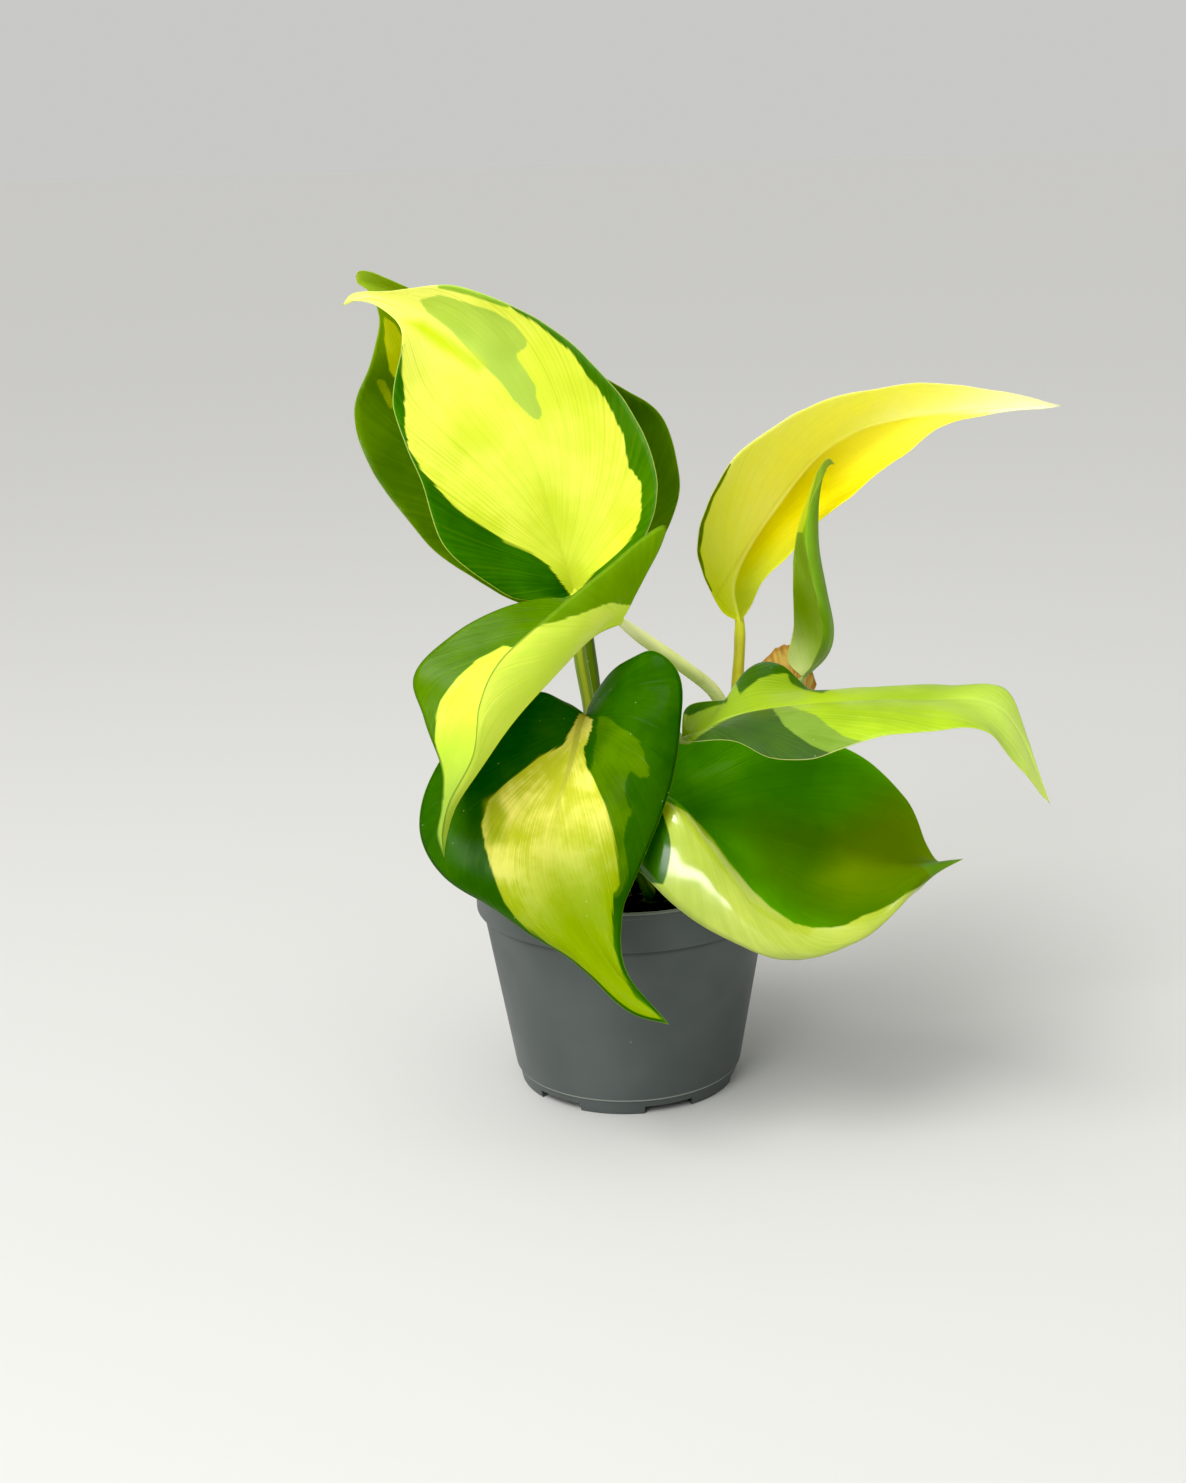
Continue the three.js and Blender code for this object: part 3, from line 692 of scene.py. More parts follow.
@dataclass(frozen=True)
class LeafFinish(Finish):
    """A blade's finish: its ground colours, patches, veins, margin line, gloss and underside."""

    ground: Colour
    shade: Colour
    base: Colour
    tip: Colour
    vein: Colour
    margin: Colour
    rib: Colour
    underside: Colour
    patches: tuple[Patch, ...] = ()
    vein_share: float = 0.16
    fine_vein_part: float = 0.6
    rib_share: float = 0.3
    rib_end: float = 1.2
    rib_fade: float = 0.3
    rib_taper: float = 0.9
    rib_half_width: float = 0.9
    rib_tip_half_width: float = 0.25
    margin_share: float = 0.45
    margin_width: float = 0.32
    patch_veins: float = 0.15
    streak_part: float = 0.3
    cloud_part: float = 0.7
    cloud_scale: float = 45.0
    grain_scale: float = 1400.0
    vary_span: Span = (0.38, 0.62)
    fleck_share: float = 0.3
    fleck_scale: Span = (120.0, 18.0)
    fleck_span: Span = (0.54, 0.72)
    under_share: float = 0.55
    under_roughness: float = 0.2
    base_end: float = 0.3
    tip_start: float = 0.7
    end_share: float = 0.9
    rim_width: float = 0.0
    rim_soft: float = 0.3
    waxy_patch: str = ""
    wax: float = 0.9
    wax_lost: float = 0.6
    wax_roughness: float = 0.16
    wax_ior: float = 1.8
    speck: Colour = 0x463C19
    speck_size: Point = (130.0, 0.035, 0.05)
    dust: float = 0.0
    dust_scale: float = 620.0
    dust_radius: float = 0.13
    dust_colour: Colour = 0xC4D6AA
    dirt_share: float = 0.6
    roughness: float = 0.34
    roughness_spread: float = 0.05
    sheen: float = 0.14
    grain_height: float = 0.25
    relief: Span = (0.22, 0.2)
    subsurface: float = 0.35
    scatter: Point = (1.0, 1.0, 0.4)
    scatter_reach: float = 0.6
    seed: float = 0.0

    def inputs(self, wire: Wiring) -> dict:
        """Works out the blade's shader inputs, from its ground up, out of its point values.

        Args:
            wire: the material's wiring.

        Returns:
            The shader's inputs by name.
        """
        across, along = wire.math("ABSOLUTE", wire.attribute("side")), wire.attribute("along")
        vein_inputs = {"Vein": wire.attribute("vein"), "Across": across, "Seed": self.seed}
        fan = wire.group(EFFECTS.veins, vein_inputs)
        cloud, grain = EFFECTS.clouds(wire, self.cloud_scale, self.grain_scale)
        uneven = wire.plus(wire.times(fan["Streak"], self.streak_part),
                           wire.times(cloud, self.cloud_part))
        vary = wire.step(uneven, *self.vary_span)
        lengthwise, crosswise = self.fleck_scale
        fleck_place = wire.vector(wire.times(wire.attribute("vein"), lengthwise),
                                  wire.times(across, crosswise), self.seed)
        flecks = wire.noise(fleck_place, 1.0, 3.0)
        flecks = wire.step(flecks, *self.fleck_span, 0.0, self.fleck_share)
        line = wire.times(fan["Line"], self.vein_share)
        fine = wire.times(fan["Fine"], self.vein_share * self.fine_vein_part)
        veined = wire.math("MAXIMUM", line, fine)
        colour = wire.blend(vary, self.ground, self.shade)
        colour = wire.cover(colour, self.base, along, self.base_end, 0.0, self.end_share)
        colour = wire.cover(colour, self.tip, along, self.tip_start, 1.0, self.end_share)
        colour = wire.blend(veined, wire.blend(flecks, colour, self.shade), self.vein)
        waxy = None
        for patch in self.patches:
            edge = {"Depth": wire.attribute(patch.name), "Streak": fan["Streak"], "Jag": patch.jag,
                    "Soft": patch.soft}
            mask = wire.group(EFFECTS.patch, edge)["Mask"]
            colour = wire.blend(mask, colour, patch.paint(wire, vary, flecks, along))
            if patch.name == self.waxy_patch:
                waxy = wire.times(mask, self.wax)
            elif waxy is not None:
                waxy = wire.times(waxy, wire.math("SUBTRACT", 1.0, wire.times(mask, self.wax_lost)))
        colour = wire.lay(colour, self.vein, veined, self.patch_veins)
        colour = self._dirtied(wire, self._lined(wire, colour, along))
        under = wire.attribute("under")
        least, most = self.roughness - self.roughness_spread, self.roughness + self.roughness_spread
        inputs = {
            "Base Color": wire.lay(colour, self.underside, under, self.under_share),
            "Roughness": wire.plus(wire.step(vary, 0.0, 1.0, least, most),
                                   wire.times(under, self.under_roughness)),
            "Normal": wire.bump(wire.plus(fan["Height"], wire.times(grain, self.grain_height)),
                                *self.relief),
            "Specular IOR Level": self.sheen,
            "Subsurface Weight": self.subsurface,
            "Subsurface Radius": self.scatter,
            "Subsurface Scale": self.scatter_reach * MM,
        }
        if waxy is not None:
            inputs |= {"Coat Weight": waxy, "Coat Roughness": self.wax_roughness,
                       "Coat IOR": self.wax_ior}
        return inputs

    def _lined(self, wire: Wiring, colour: Socket, along: Socket) -> Socket:
        """Draws the dark rim, the midrib's line, which narrows to the tip, and the margin's line.

        Args:
            wire: the material's wiring.
            colour: the colour so far.
            along: the share from joint to tip.

        Returns:
            The colour with its lines.
        """
        inset = wire.attribute("inset")
        if self.rim_width:
            outer, inner = self.rim_width - self.rim_soft, self.rim_width + self.rim_soft
            colour = wire.cover(colour, self.shade, inset, inner, outer)
        width = wire.step(along, 0.0, self.rib_taper, self.rib_half_width, self.rib_tip_half_width)
        rib_line = wire.step(wire.attribute("offset"), width, wire.times(width, 0.5))
        kept = wire.step(along, self.rib_end, self.rib_end - self.rib_fade)
        colour = wire.lay(colour, self.rib, wire.times(rib_line, kept), self.rib_share)
        margin_line = wire.step(inset, self.margin_width, self.margin_width / 6)
        return wire.lay(colour, self.margin, margin_line, self.margin_share)

    def _dirtied(self, wire: Wiring, colour: Socket) -> Socket:
        """Lays sparse dark specks on a colour, and pale dust where the blade has it."""
        specks = EFFECTS.dots(wire, *self.speck_size)
        colour = wire.lay(colour, self.speck, specks, self.dirt_share)
        if self.dust:
            dust = EFFECTS.dots(wire, self.dust_scale, self.dust, self.dust_radius)
            colour = wire.lay(colour, self.dust_colour, dust, self.dirt_share)
        return colour


@dataclass(frozen=True)
class Half:
    """One half of a blade: its margin, and its belly's height or its crest line."""

    edge: Route
    belly: Point = (0.0, 0.0, 0.0)
    crest: Route = ()


@dataclass(frozen=True)
class BladeGrid:
    """A blade's middle surface with what is measured on it, in arrays that spread over its grid."""

    middle: Array
    normals: Array
    share: Array
    across: Array
    offset: Array
    inset: Array
    vein: Array


@dataclass(frozen=True)
class Blade:
    """A heart-shaped blade between a midrib and two margins, from its joint to its tip."""

    name: str
    slot: str
    joint: Point
    tip: Point
    rib: Route
    left: Half
    right: Half
    finish: LeafFinish
    rows: int = 150
    columns: int = 30
    rib_crowding: float = 1.7
    column_crowding: float = 1.25
    thickness: float = 0.42
    margin_thickness: float = 0.16
    margin_reach: float = 3.0
    rib_swell: float = 1.1
    groove: float = 0.3
    groove_width: float = 1.1
    quilt: float = 0.14
    quilt_reach: float = 5.0
    wave: float = 0.3
    wave_count: float = 5.5
    unevenness: float = 0.3
    uneven_size: float = 9.0
    end_fade: float = 0.06
    vein_count: float = 9.0
    crease_passes: int = 12
    crease_reach: float = 4.0

    def _half(self, half: Half, along: Array, across: Array) -> Array:
        """Works out one half's middle surface.

        Each row is the parabola through three points: the midrib's, the crest's and the margin's.
        The midrib is read at the row's share raised to the crowding, the margin at the share
        itself. The crest is its own line, or the midpoint raised by the belly times a half sine
        wave.

        Args:
            half: the half's lines.
            along: (rows) shares from joint to tip.
            across: (columns) shares from midrib to margin.

        Returns:
            (rows, columns, 3) points in millimetres.
        """
        ends = np.array([self.joint, self.tip])

        def line(route: Route, shares: Array) -> Array:
            """Samples a line from the joint to the tip through its points."""
            return curve_points(np.vstack([ends[:1], np.array(route, float), ends[1:]]), shares)

        rib = line(self.rib, along**self.rib_crowding)
        edge = line(half.edge, along)
        crest = (rib + edge) / 2 + np.array(half.belly) * np.sin(np.pi * along**0.8)[:, None]
        if half.crest:
            crest = line(half.crest, along)
        return parabola(rib[:, None], crest[:, None], edge[:, None], across[None, :, None])

    def surface(self) -> tuple[Array, Array, Array, Array]:
        """Works out the blade's middle surface from the left margin over the midrib.

        The crease at the midrib is softened: near it each point moves towards the mean of its two
        neighbours in the row, by a share that falls off as the square of the distance.

        Returns:
            The (rows, width, 3) points, their unit normals towards the upper side, the rows' shares
            along, and the columns' signed shares across.
        """
        along = np.linspace(0, 1, self.rows)
        half_across = np.linspace(0, 1, self.columns + 1) ** self.column_crowding
        left = self._half(self.left, along, half_across)
        right = self._half(self.right, along, half_across)
        middle = np.concatenate([left[:, :0:-1], right], axis=1)
        across = np.concatenate([-half_across[:0:-1], half_across])
        span = np.linalg.norm(middle - middle[:, self.columns : self.columns + 1], axis=-1)
        soften = bell(span[:, 1:-1], self.crease_reach)[..., None] * 0.5
        for _ in range(self.crease_passes):
            mean = (middle[:, :-2] + middle[:, 2:]) / 2
            middle[:, 1:-1] += soften * (mean - middle[:, 1:-1])
        normals = unit(np.cross(np.gradient(middle, axis=1), np.gradient(middle, axis=0)))
        normals[0], normals[-1] = normals[1], normals[-2]
        return middle, normals, along, across

    def rib_point(self, row: int, below: float) -> Array:
        """Gives the midrib's point at a row, a distance below the blade."""
        middle, normals, _, _ = self.surface()
        return middle[row, self.columns] - normals[row, self.columns] * below

    def grid(self) -> BladeGrid:
        """Measures the middle surface.

        The distance from the midrib is added up along each row. The vein coordinate is the share
        along over a number that grows with the way across, so that its even lines sweep towards the
        tip.

        Returns:
            The surface with its measures.
        """
        middle, normals, along, across = self.surface()
        share, across = along[:, None], across[None, :]
        steps = np.linalg.norm(np.diff(middle, axis=1), axis=-1)
        run = np.concatenate([np.zeros((self.rows, 1)), np.cumsum(steps, axis=1)], axis=1)
        offset = np.abs(run - run[:, self.columns : self.columns + 1])
        end = np.where(across < 0, offset[:, :1], offset[:, -1:])
        vein = share / (0.35 + 0.65 * np.abs(across) ** 0.8)
        return BladeGrid(middle, normals, share, across, offset, end - offset, vein)

    def _relief(self, grid: BladeGrid) -> Array:
        """Works out how far the middle surface is raised.

        A groove over the midrib falls off as the square of the distance, quilting dips on the
        veins, a wave runs along the margins, and a small seeded unevenness lies over all. They fade
        at the ends.

        Args:
            grid: the middle surface.

        Returns:
            The height of each point.
        """
        share, part, middle, seed = grid.share, np.abs(grid.across), grid.middle, self.finish.seed
        fade = smoothstep(share, 0.0, self.end_fade) * smoothstep(1 - share, 0.0, self.end_fade)
        groove = -self.groove * bell(grid.offset, self.groove_width) * (1 - 0.8 * share)
        calm = smoothstep(grid.vein, 0.02, 0.15) * smoothstep(1.5 - grid.vein, 0.0, 0.5)
        ribs = np.abs(np.sin(np.pi * self.vein_count * grid.vein)) ** 0.7
        quilt = self.quilt * ribs * part**0.5 * calm * smoothstep(grid.inset, 0.0, self.quilt_reach)
        swing = np.sin(2 * np.pi * (self.wave_count * share + 0.3 * grid.across))
        wave = self.wave * swing * part**2
        uneven = Roughness2D(int(seed * 10) + 3).layered(middle[..., 0] / self.uneven_size + seed,
                                                         middle[..., 2] / self.uneven_size, 2)
        return (groove + quilt + wave + self.unevenness * uneven * part) * fade

    def _faces(self) -> tuple[Array, Array]:
        """Numbers the faces of the closed sheet.

        The upper grid's points come first, then the under grid's, then the joint and the tip.
        Strips join the two grids along the margins, and fans join them to the two end points.

        Returns:
            The four-sided and the three-sided faces.
        """
        width, inner = 2 * self.columns + 1, self.rows - 2
        block = inner * width
        column = np.arange(width - 1)
        foot = block - width + column
        joint, tip = 2 * block, 2 * block + 1
        ends = np.array([joint, tip])
        fans = np.concatenate([np.stack([np.full(width - 1, joint), column + 1, column], axis=1),
                               np.stack([foot, foot + 1, np.full(width - 1, tip)], axis=1)])
        under_fans = np.where(np.isin(fans, ends), fans, fans + block)[:, ::-1]
        sides = np.array([[joint, 0, block], [joint, block + width - 1, width - 1],
                          [tip, 2 * block - width, block - width], [tip, block - 1, 2 * block - 1]])
        return sheet_quads(inner, width), np.concatenate([fans, under_fans, sides])

    def _points(self, grid: BladeGrid) -> Array:
        """Stands the two faces off the raised middle surface, and adds the joint and the tip.

        The sheet thins towards the margins and both ends, and its underside swells along the
        midrib.

        Args:
            grid: the middle surface.

        Returns:
            The upper face's points, the under face's, and the two end points.
        """
        share, middle, relief = grid.share, grid.middle, self._relief(grid)
        full = smoothstep(grid.inset, 0.0, self.margin_reach)
        half_thick = 0.5 * (self.margin_thickness + (self.thickness - self.margin_thickness) * full)
        pinch = np.minimum(smoothstep(share, -0.02, 0.03), smoothstep(1 - share, -0.01, 0.04))
        swell = self.rib_swell * bell(grid.offset, 1.0) * (1 - share) ** 0.8
        upper = middle + grid.normals * (relief + half_thick * pinch)[..., None]
        under = middle + grid.normals * (relief - (half_thick + swell) * pinch)[..., None]
        poles = np.stack([middle[0, self.columns], middle[-1, self.columns]])
        return np.concatenate([upper[1:-1].reshape(-1, 3), under[1:-1].reshape(-1, 3), poles])

    def _values(self, grid: BladeGrid) -> dict[str, Array]:
        """Gives each point the values that the finish reads, the patches' depths among them."""
        shape = grid.offset.shape

        def twice(values: Array, joint_value: float, tip_value: float) -> Array:
            """Gives a grid's values for both faces and the two poles."""
            flat = np.broadcast_to(values, shape)[1:-1].ravel()
            return np.concatenate([flat, flat, [joint_value, tip_value]])

        block = (self.rows - 2) * (2 * self.columns + 1)
        values = {
            "along": twice(grid.share, 0, 1),
            "side": twice(grid.across, 0, 0),
            "vein": twice(grid.vein, 0, 1),
            "offset": twice(grid.offset, 0, 0),
            "inset": twice(grid.inset, 1, 0),
            "under": np.concatenate([np.zeros(block), np.ones(block), [0.5, 0.5]]),
        }
        for patch in self.finish.patches:
            depth = patch.depth(grid.middle, grid.across)
            values[patch.name] = twice(depth, depth[0, self.columns], depth[-1, self.columns])
        return values

    def build(self) -> Piece:
        """Builds the blade as a closed thin sheet, pointed at the joint and the tip.

        Returns:
            The finished piece.
        """
        grid = self.grid()
        quads, triangles = self._faces()
        values = self._values(grid)
        piece = make_object(self.name + "_blade", self._points(grid), quads, triangles, values)
        piece.data.materials.append(self.finish.material(self.name))
        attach(piece, BODY)
        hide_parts(self.name)
        return piece


# Colours that several blades share.
DEEP_GREEN = 0x347004
DEEP_SHADE = 0x245C04
UNDER_GREEN = 0x68922C
UNDER_LIME = 0xC8DE4C


UPPER_FRONT_FINISH = LeafFinish(patches=(
    Patch("muted_patch", ((420, 299), (439, 294), (466, 301), (495, 311), (514, 323), (527, 340),
        (527, 347), (519, 352), (514, 354), (521, 364), (536, 386), (536, 396), (543, 413),
        (538, 420), (529, 415), (514, 400), (500, 381), (475, 357), (451, 330), (427, 311)),
        0xBAD254, 0xA8C448, jag=0.54),
    Patch("tip_streak", ((404, 322), (424, 320), (452, 338), (486, 364), (478, 372), (440, 350)),
        0xCCD828, 0xBECE20, jag=0.8, soft=2.0),
    Patch("left_green", ((572, 597), (548, 565), (531, 553), (504, 541), (487, 529), (466, 517),
        (451, 505), (434, 485), (420, 468), (410, 451), (404, 430), (404, 400), (403, 375),
        (402, 345), (380, 345), (365, 430), (395, 520), (470, 600), (560, 650)), DEEP_GREEN,
        DEEP_SHADE, jag=0.81),
    Patch("right_green", ((509, 304), (536, 323), (570, 350), (587, 371), (606, 400), (623, 432),
        (630, 466), (640, 479), (642, 485), (641, 502), (642, 512), (635, 534), (621, 551),
        (596, 572), (574, 596), (600, 650), (700, 600), (720, 480), (690, 380), (600, 300),
        (530, 285)), 0x487C0C, 0x366C06, jag=0.81),
    Patch("top_strip", ((437, 288), (470, 294), (509, 307), (530, 285), (440, 265)), 0x96BA38,
        0x82AA2C, jag=0.23),
), ground=0xEEF25E, shade=0xD6E23C, base=0xD2E234, tip=0xF4F286, vein=0xB0C422, margin=0xC4D46E,
    rib=0xCEDE3C, underside=UNDER_LIME, seed=0.1, base_end=0.45, tip_start=0.6, vein_share=0.34,
    fleck_share=0.45)

UPPER_BACK_FINISH = LeafFinish(patches=(
    Patch("olive_patch", ((384, 316), (396, 325), (405, 342), (397, 384), (388, 370), (384, 340)),
        0xC8CC28, 0xB8C020),
    Patch("olive_streak", ((374, 378), (384, 380), (398, 408), (390, 410)), 0x96A21E, 0x829418,
        jag=0.27),
    Patch("tip_patch", ((330, 268), (405, 268), (405, 292), (372, 292), (352, 300), (335, 290)),
        0xACC238, 0x8CAA28),
), ground=0x587A06, shade=0x466A06, base=0x60840A, tip=0x8CAC1E, vein=0x547810, margin=0x96AA3C,
    rib=0x6E8C1E, underside=UNDER_GREEN, seed=0.2)

FOLDED_LEFT_FINISH = LeafFinish(patches=(
    Patch("far_lime", ((340, 900), (340, 560), (700, 560), (700, 900)), 0xD6EA48, 0xC4DE36,
        side=Side.RIGHT, jag=0.0, far=0x8AA83C, far_start=0.58),
    Patch("near_green", ((700, 610), (620, 604), (613, 602), (603, 604), (579, 614), (560, 621),
        (538, 626), (523, 633), (512, 642), (480, 640), (560, 540), (620, 480), (720, 470),
        (740, 560)), 0x70A206, 0x609404, side=Side.LEFT, jag=0.54),
    Patch("far_green", ((520, 650), (504, 646), (477, 660), (458, 679), (441, 701), (436, 718),
        (435, 742), (439, 760), (445, 800), (400, 820), (370, 700), (430, 600), (520, 560),
        (660, 560), (640, 660)), 0x507804, 0x426802, side=Side.RIGHT, jag=0.54),
), ground=0xEEFE68, shade=0xDEF854, base=0xDCF454, tip=0x82A23A, vein=0xCCE23C, margin=0x466816,
    rib=0xCEE450, underside=UNDER_LIME, seed=0.3, under_share=0.12, tip_start=0.68,
    margin_share=0.85, margin_width=0.9, sheen=0.1)

FRONT_HANGING_FINISH = LeafFinish(patches=(
    Patch("mid_green", ((600, 716), (612, 719), (617, 724), (630, 732), (640, 742), (645, 757),
        (651, 775), (649, 779), (640, 778), (630, 770), (627, 775), (624, 785), (627, 806),
        (631, 811), (626, 824), (624, 844), (627, 870), (624, 890), (612, 900), (600, 860),
        (590, 780)), 0x547A04, 0x426A04, jag=1.3),
    Patch("yellow_splash", ((579, 714), (573, 727), (563, 745), (539, 757), (527, 767), (507, 783),
        (489, 801), (482, 824), (485, 844), (492, 870), (496, 882), (505, 903), (517, 917),
        (543, 938), (573, 964), (604, 990), (624, 1007), (642, 1020), (672, 1030), (652, 1010),
        (635, 997), (622, 972), (614, 946), (612, 921), (613, 895), (619, 885), (617, 857),
        (612, 829), (604, 803), (594, 780), (586, 767), (584, 750), (591, 734), (593, 719)),
        0xF0E874, 0xBEC22E, near=0xE2D06C, far=0x809A0A, near_end=0.34, far_start=0.42, jag=0.9),
    Patch("olive_blotch", ((486, 802), (498, 796), (508, 815), (503, 842), (488, 846)), 0xB0B82C,
        0x96A41E, jag=0.5, soft=1.6),
), ground=0x306008, shade=0x245404, base=0x3C6E0C, tip=0x3E7408, vein=0x3A6C0C, margin=0x82A53C,
    rib=0xB2B044, underside=UNDER_GREEN, seed=0.4, base_end=0.2, rim_width=1.0, dust=0.1,
    sheen=0.08, rib_end=0.6, rib_share=0.75, vein_share=0.1, rib_half_width=1.6, cloud_scale=100.0)

RIGHT_REACHING_FINISH = LeafFinish(patches=(
    Patch("far_lobe", ((740, 696), (746, 690), (759, 679), (772, 675), (787, 674), (788, 679),
        (791, 684), (806, 692), (822, 694), (850, 680), (800, 630), (730, 660)), 0x3C681C, 0x2E5814,
        side=Side.LEFT, jag=0.45),
    Patch("base_dark", ((680, 712), (689, 716), (712, 707), (728, 703), (728, 690), (690, 695)),
        0x3C6818, 0x325C14, jag=0.36),
    Patch("near_grey", ((690, 742), (697, 738), (725, 721), (751, 709), (770, 704), (785, 705),
        (798, 712), (806, 714), (814, 716), (819, 724), (830, 731), (843, 738), (862, 741),
        (850, 800), (700, 800)), 0x3E5E22, 0x324E24, side=Side.RIGHT, jag=0.45),
    Patch("near_pale", ((768, 702), (798, 710), (814, 715), (843, 736), (866, 742), (840, 758),
        (812, 746), (786, 728)), 0x7C9A3C, 0x6C8C2C, side=Side.RIGHT, jag=0.54),
), ground=0xA0BE24, shade=0x8AAA1A, base=0x7A962C, tip=0xDEF876, vein=0xC4DE54, margin=0xE1EB8C,
    rib=0xC8E064, underside=UNDER_GREEN, seed=0.5, dust=0.1, tip_start=0.68, base_end=0.6)

CUPPED_RIGHT_FINISH = LeafFinish(patches=(
    # Darker green over the low middle of the blade, down into the fold: painted shade.
    Patch("fold_painted_shade", ((735, 830), (752, 880), (800, 925), (850, 945), (900, 930), (930, 890),
        (900, 862), (860, 838), (800, 815), (760, 812)), 0x467004, 0x426804, jag=0.0, soft=8.0),
    Patch("brown_blush", ((825, 880), (845, 835), (890, 800), (935, 820), (935, 865), (890, 890),
        (845, 895)), 0x749006, 0x688606, jag=0.0, soft=8.0),
    Patch("lime_band", ((655, 795), (664, 800), (694, 817), (711, 839), (727, 861), (748, 887),
        (770, 908), (792, 923), (813, 928), (831, 928), (846, 925), (863, 916), (878, 911),
        (894, 903), (907, 893), (924, 882), (943, 872), (975, 852), (985, 880), (900, 960),
        (800, 990), (700, 960), (630, 880)), 0xB4C442, 0xA2B630, side=Side.RIGHT, jag=0.36),
    Patch("band_green", ((640, 790), (662, 811), (670, 837), (671, 850), (665, 884), (625, 880)),
        0x3C6C0E, 0x305E0A, side=Side.RIGHT, jag=0.36),
    # Paler green on the lit triangle at the tip: partly the tip's own lime colour, partly painted
    # light.
    Patch("tip_green", ((920, 866), (928, 862), (964, 856), (940, 874), (930, 876)), 0x6E9C28,
        0x649222, jag=0.27),
), ground=0x58A006, shade=0x4C9206, base=0x346A04, tip=0x748804, vein=0x427808, margin=0xAABE46,
    rib=0x5C8A18, underside=UNDER_GREEN, seed=0.6, roughness=0.38, sheen=0.08, tip_start=0.6,
    vein_share=0.08, waxy_patch="lime_band", rib_share=0.2)

# On the yellow arching blade the pale midrib line (rib, rib_share) is a painted highlight along the
# fold.
YELLOW_ARCHING_FINISH = LeafFinish(patches=(
    Patch("lower_gold", ((712, 602), (738, 560), (777, 500), (809, 461), (839, 441), (869, 423),
        (901, 417), (940, 415), (990, 414), (1000, 460), (850, 600), (720, 650)), 0xDCD01E,
        0xCABC14, side=Side.RIGHT, near=0xB4BE34, near_end=0.42, far=0xEEE64C, far_start=0.45,
        jag=0.14, soft=1.2),
    Patch("green_margin", ((732, 463), (728, 469), (713, 496), (704, 523), (701, 550), (705, 576),
        (712, 592), (700, 594), (688, 560), (688, 520), (700, 485), (720, 455)), 0x688214, 0x5A7610,
        jag=0.05, soft=0.2),
), ground=0xFEFD96, shade=0xFCFB78, base=0xC2CE04, tip=0xFEFDD6, vein=0xE8E63C, margin=0xF0EC82,
    rib=0xFAF882, underside=0xF4F06E, seed=0.7, vein_share=0.2, rib_share=0.5, base_end=0.5,
    under_share=0.3, subsurface=0.9, fleck_share=0.15)

YOUNG_ROLLED_FINISH = LeafFinish(patches=(
    Patch("right_strip", ((803, 520), (805, 543), (813, 577), (821, 614), (827, 650), (870, 650),
        (870, 520), (825, 480)), 0x8EB81C, 0x76A414, jag=0.27),
    Patch("yellow_sliver", ((796, 532), (803, 532), (817, 468), (806, 464), (798, 500)), 0xC4CC28,
        0xB0BE22, jag=0.14),
), ground=0x86A228, shade=0x728E20, base=0xC4CC88, tip=0x546414, vein=0x80A22C, margin=0xB2C050,
    rib=0x8CAA3C, underside=UNDER_GREEN, seed=0.8, tip_start=0.9, base_end=0.35)


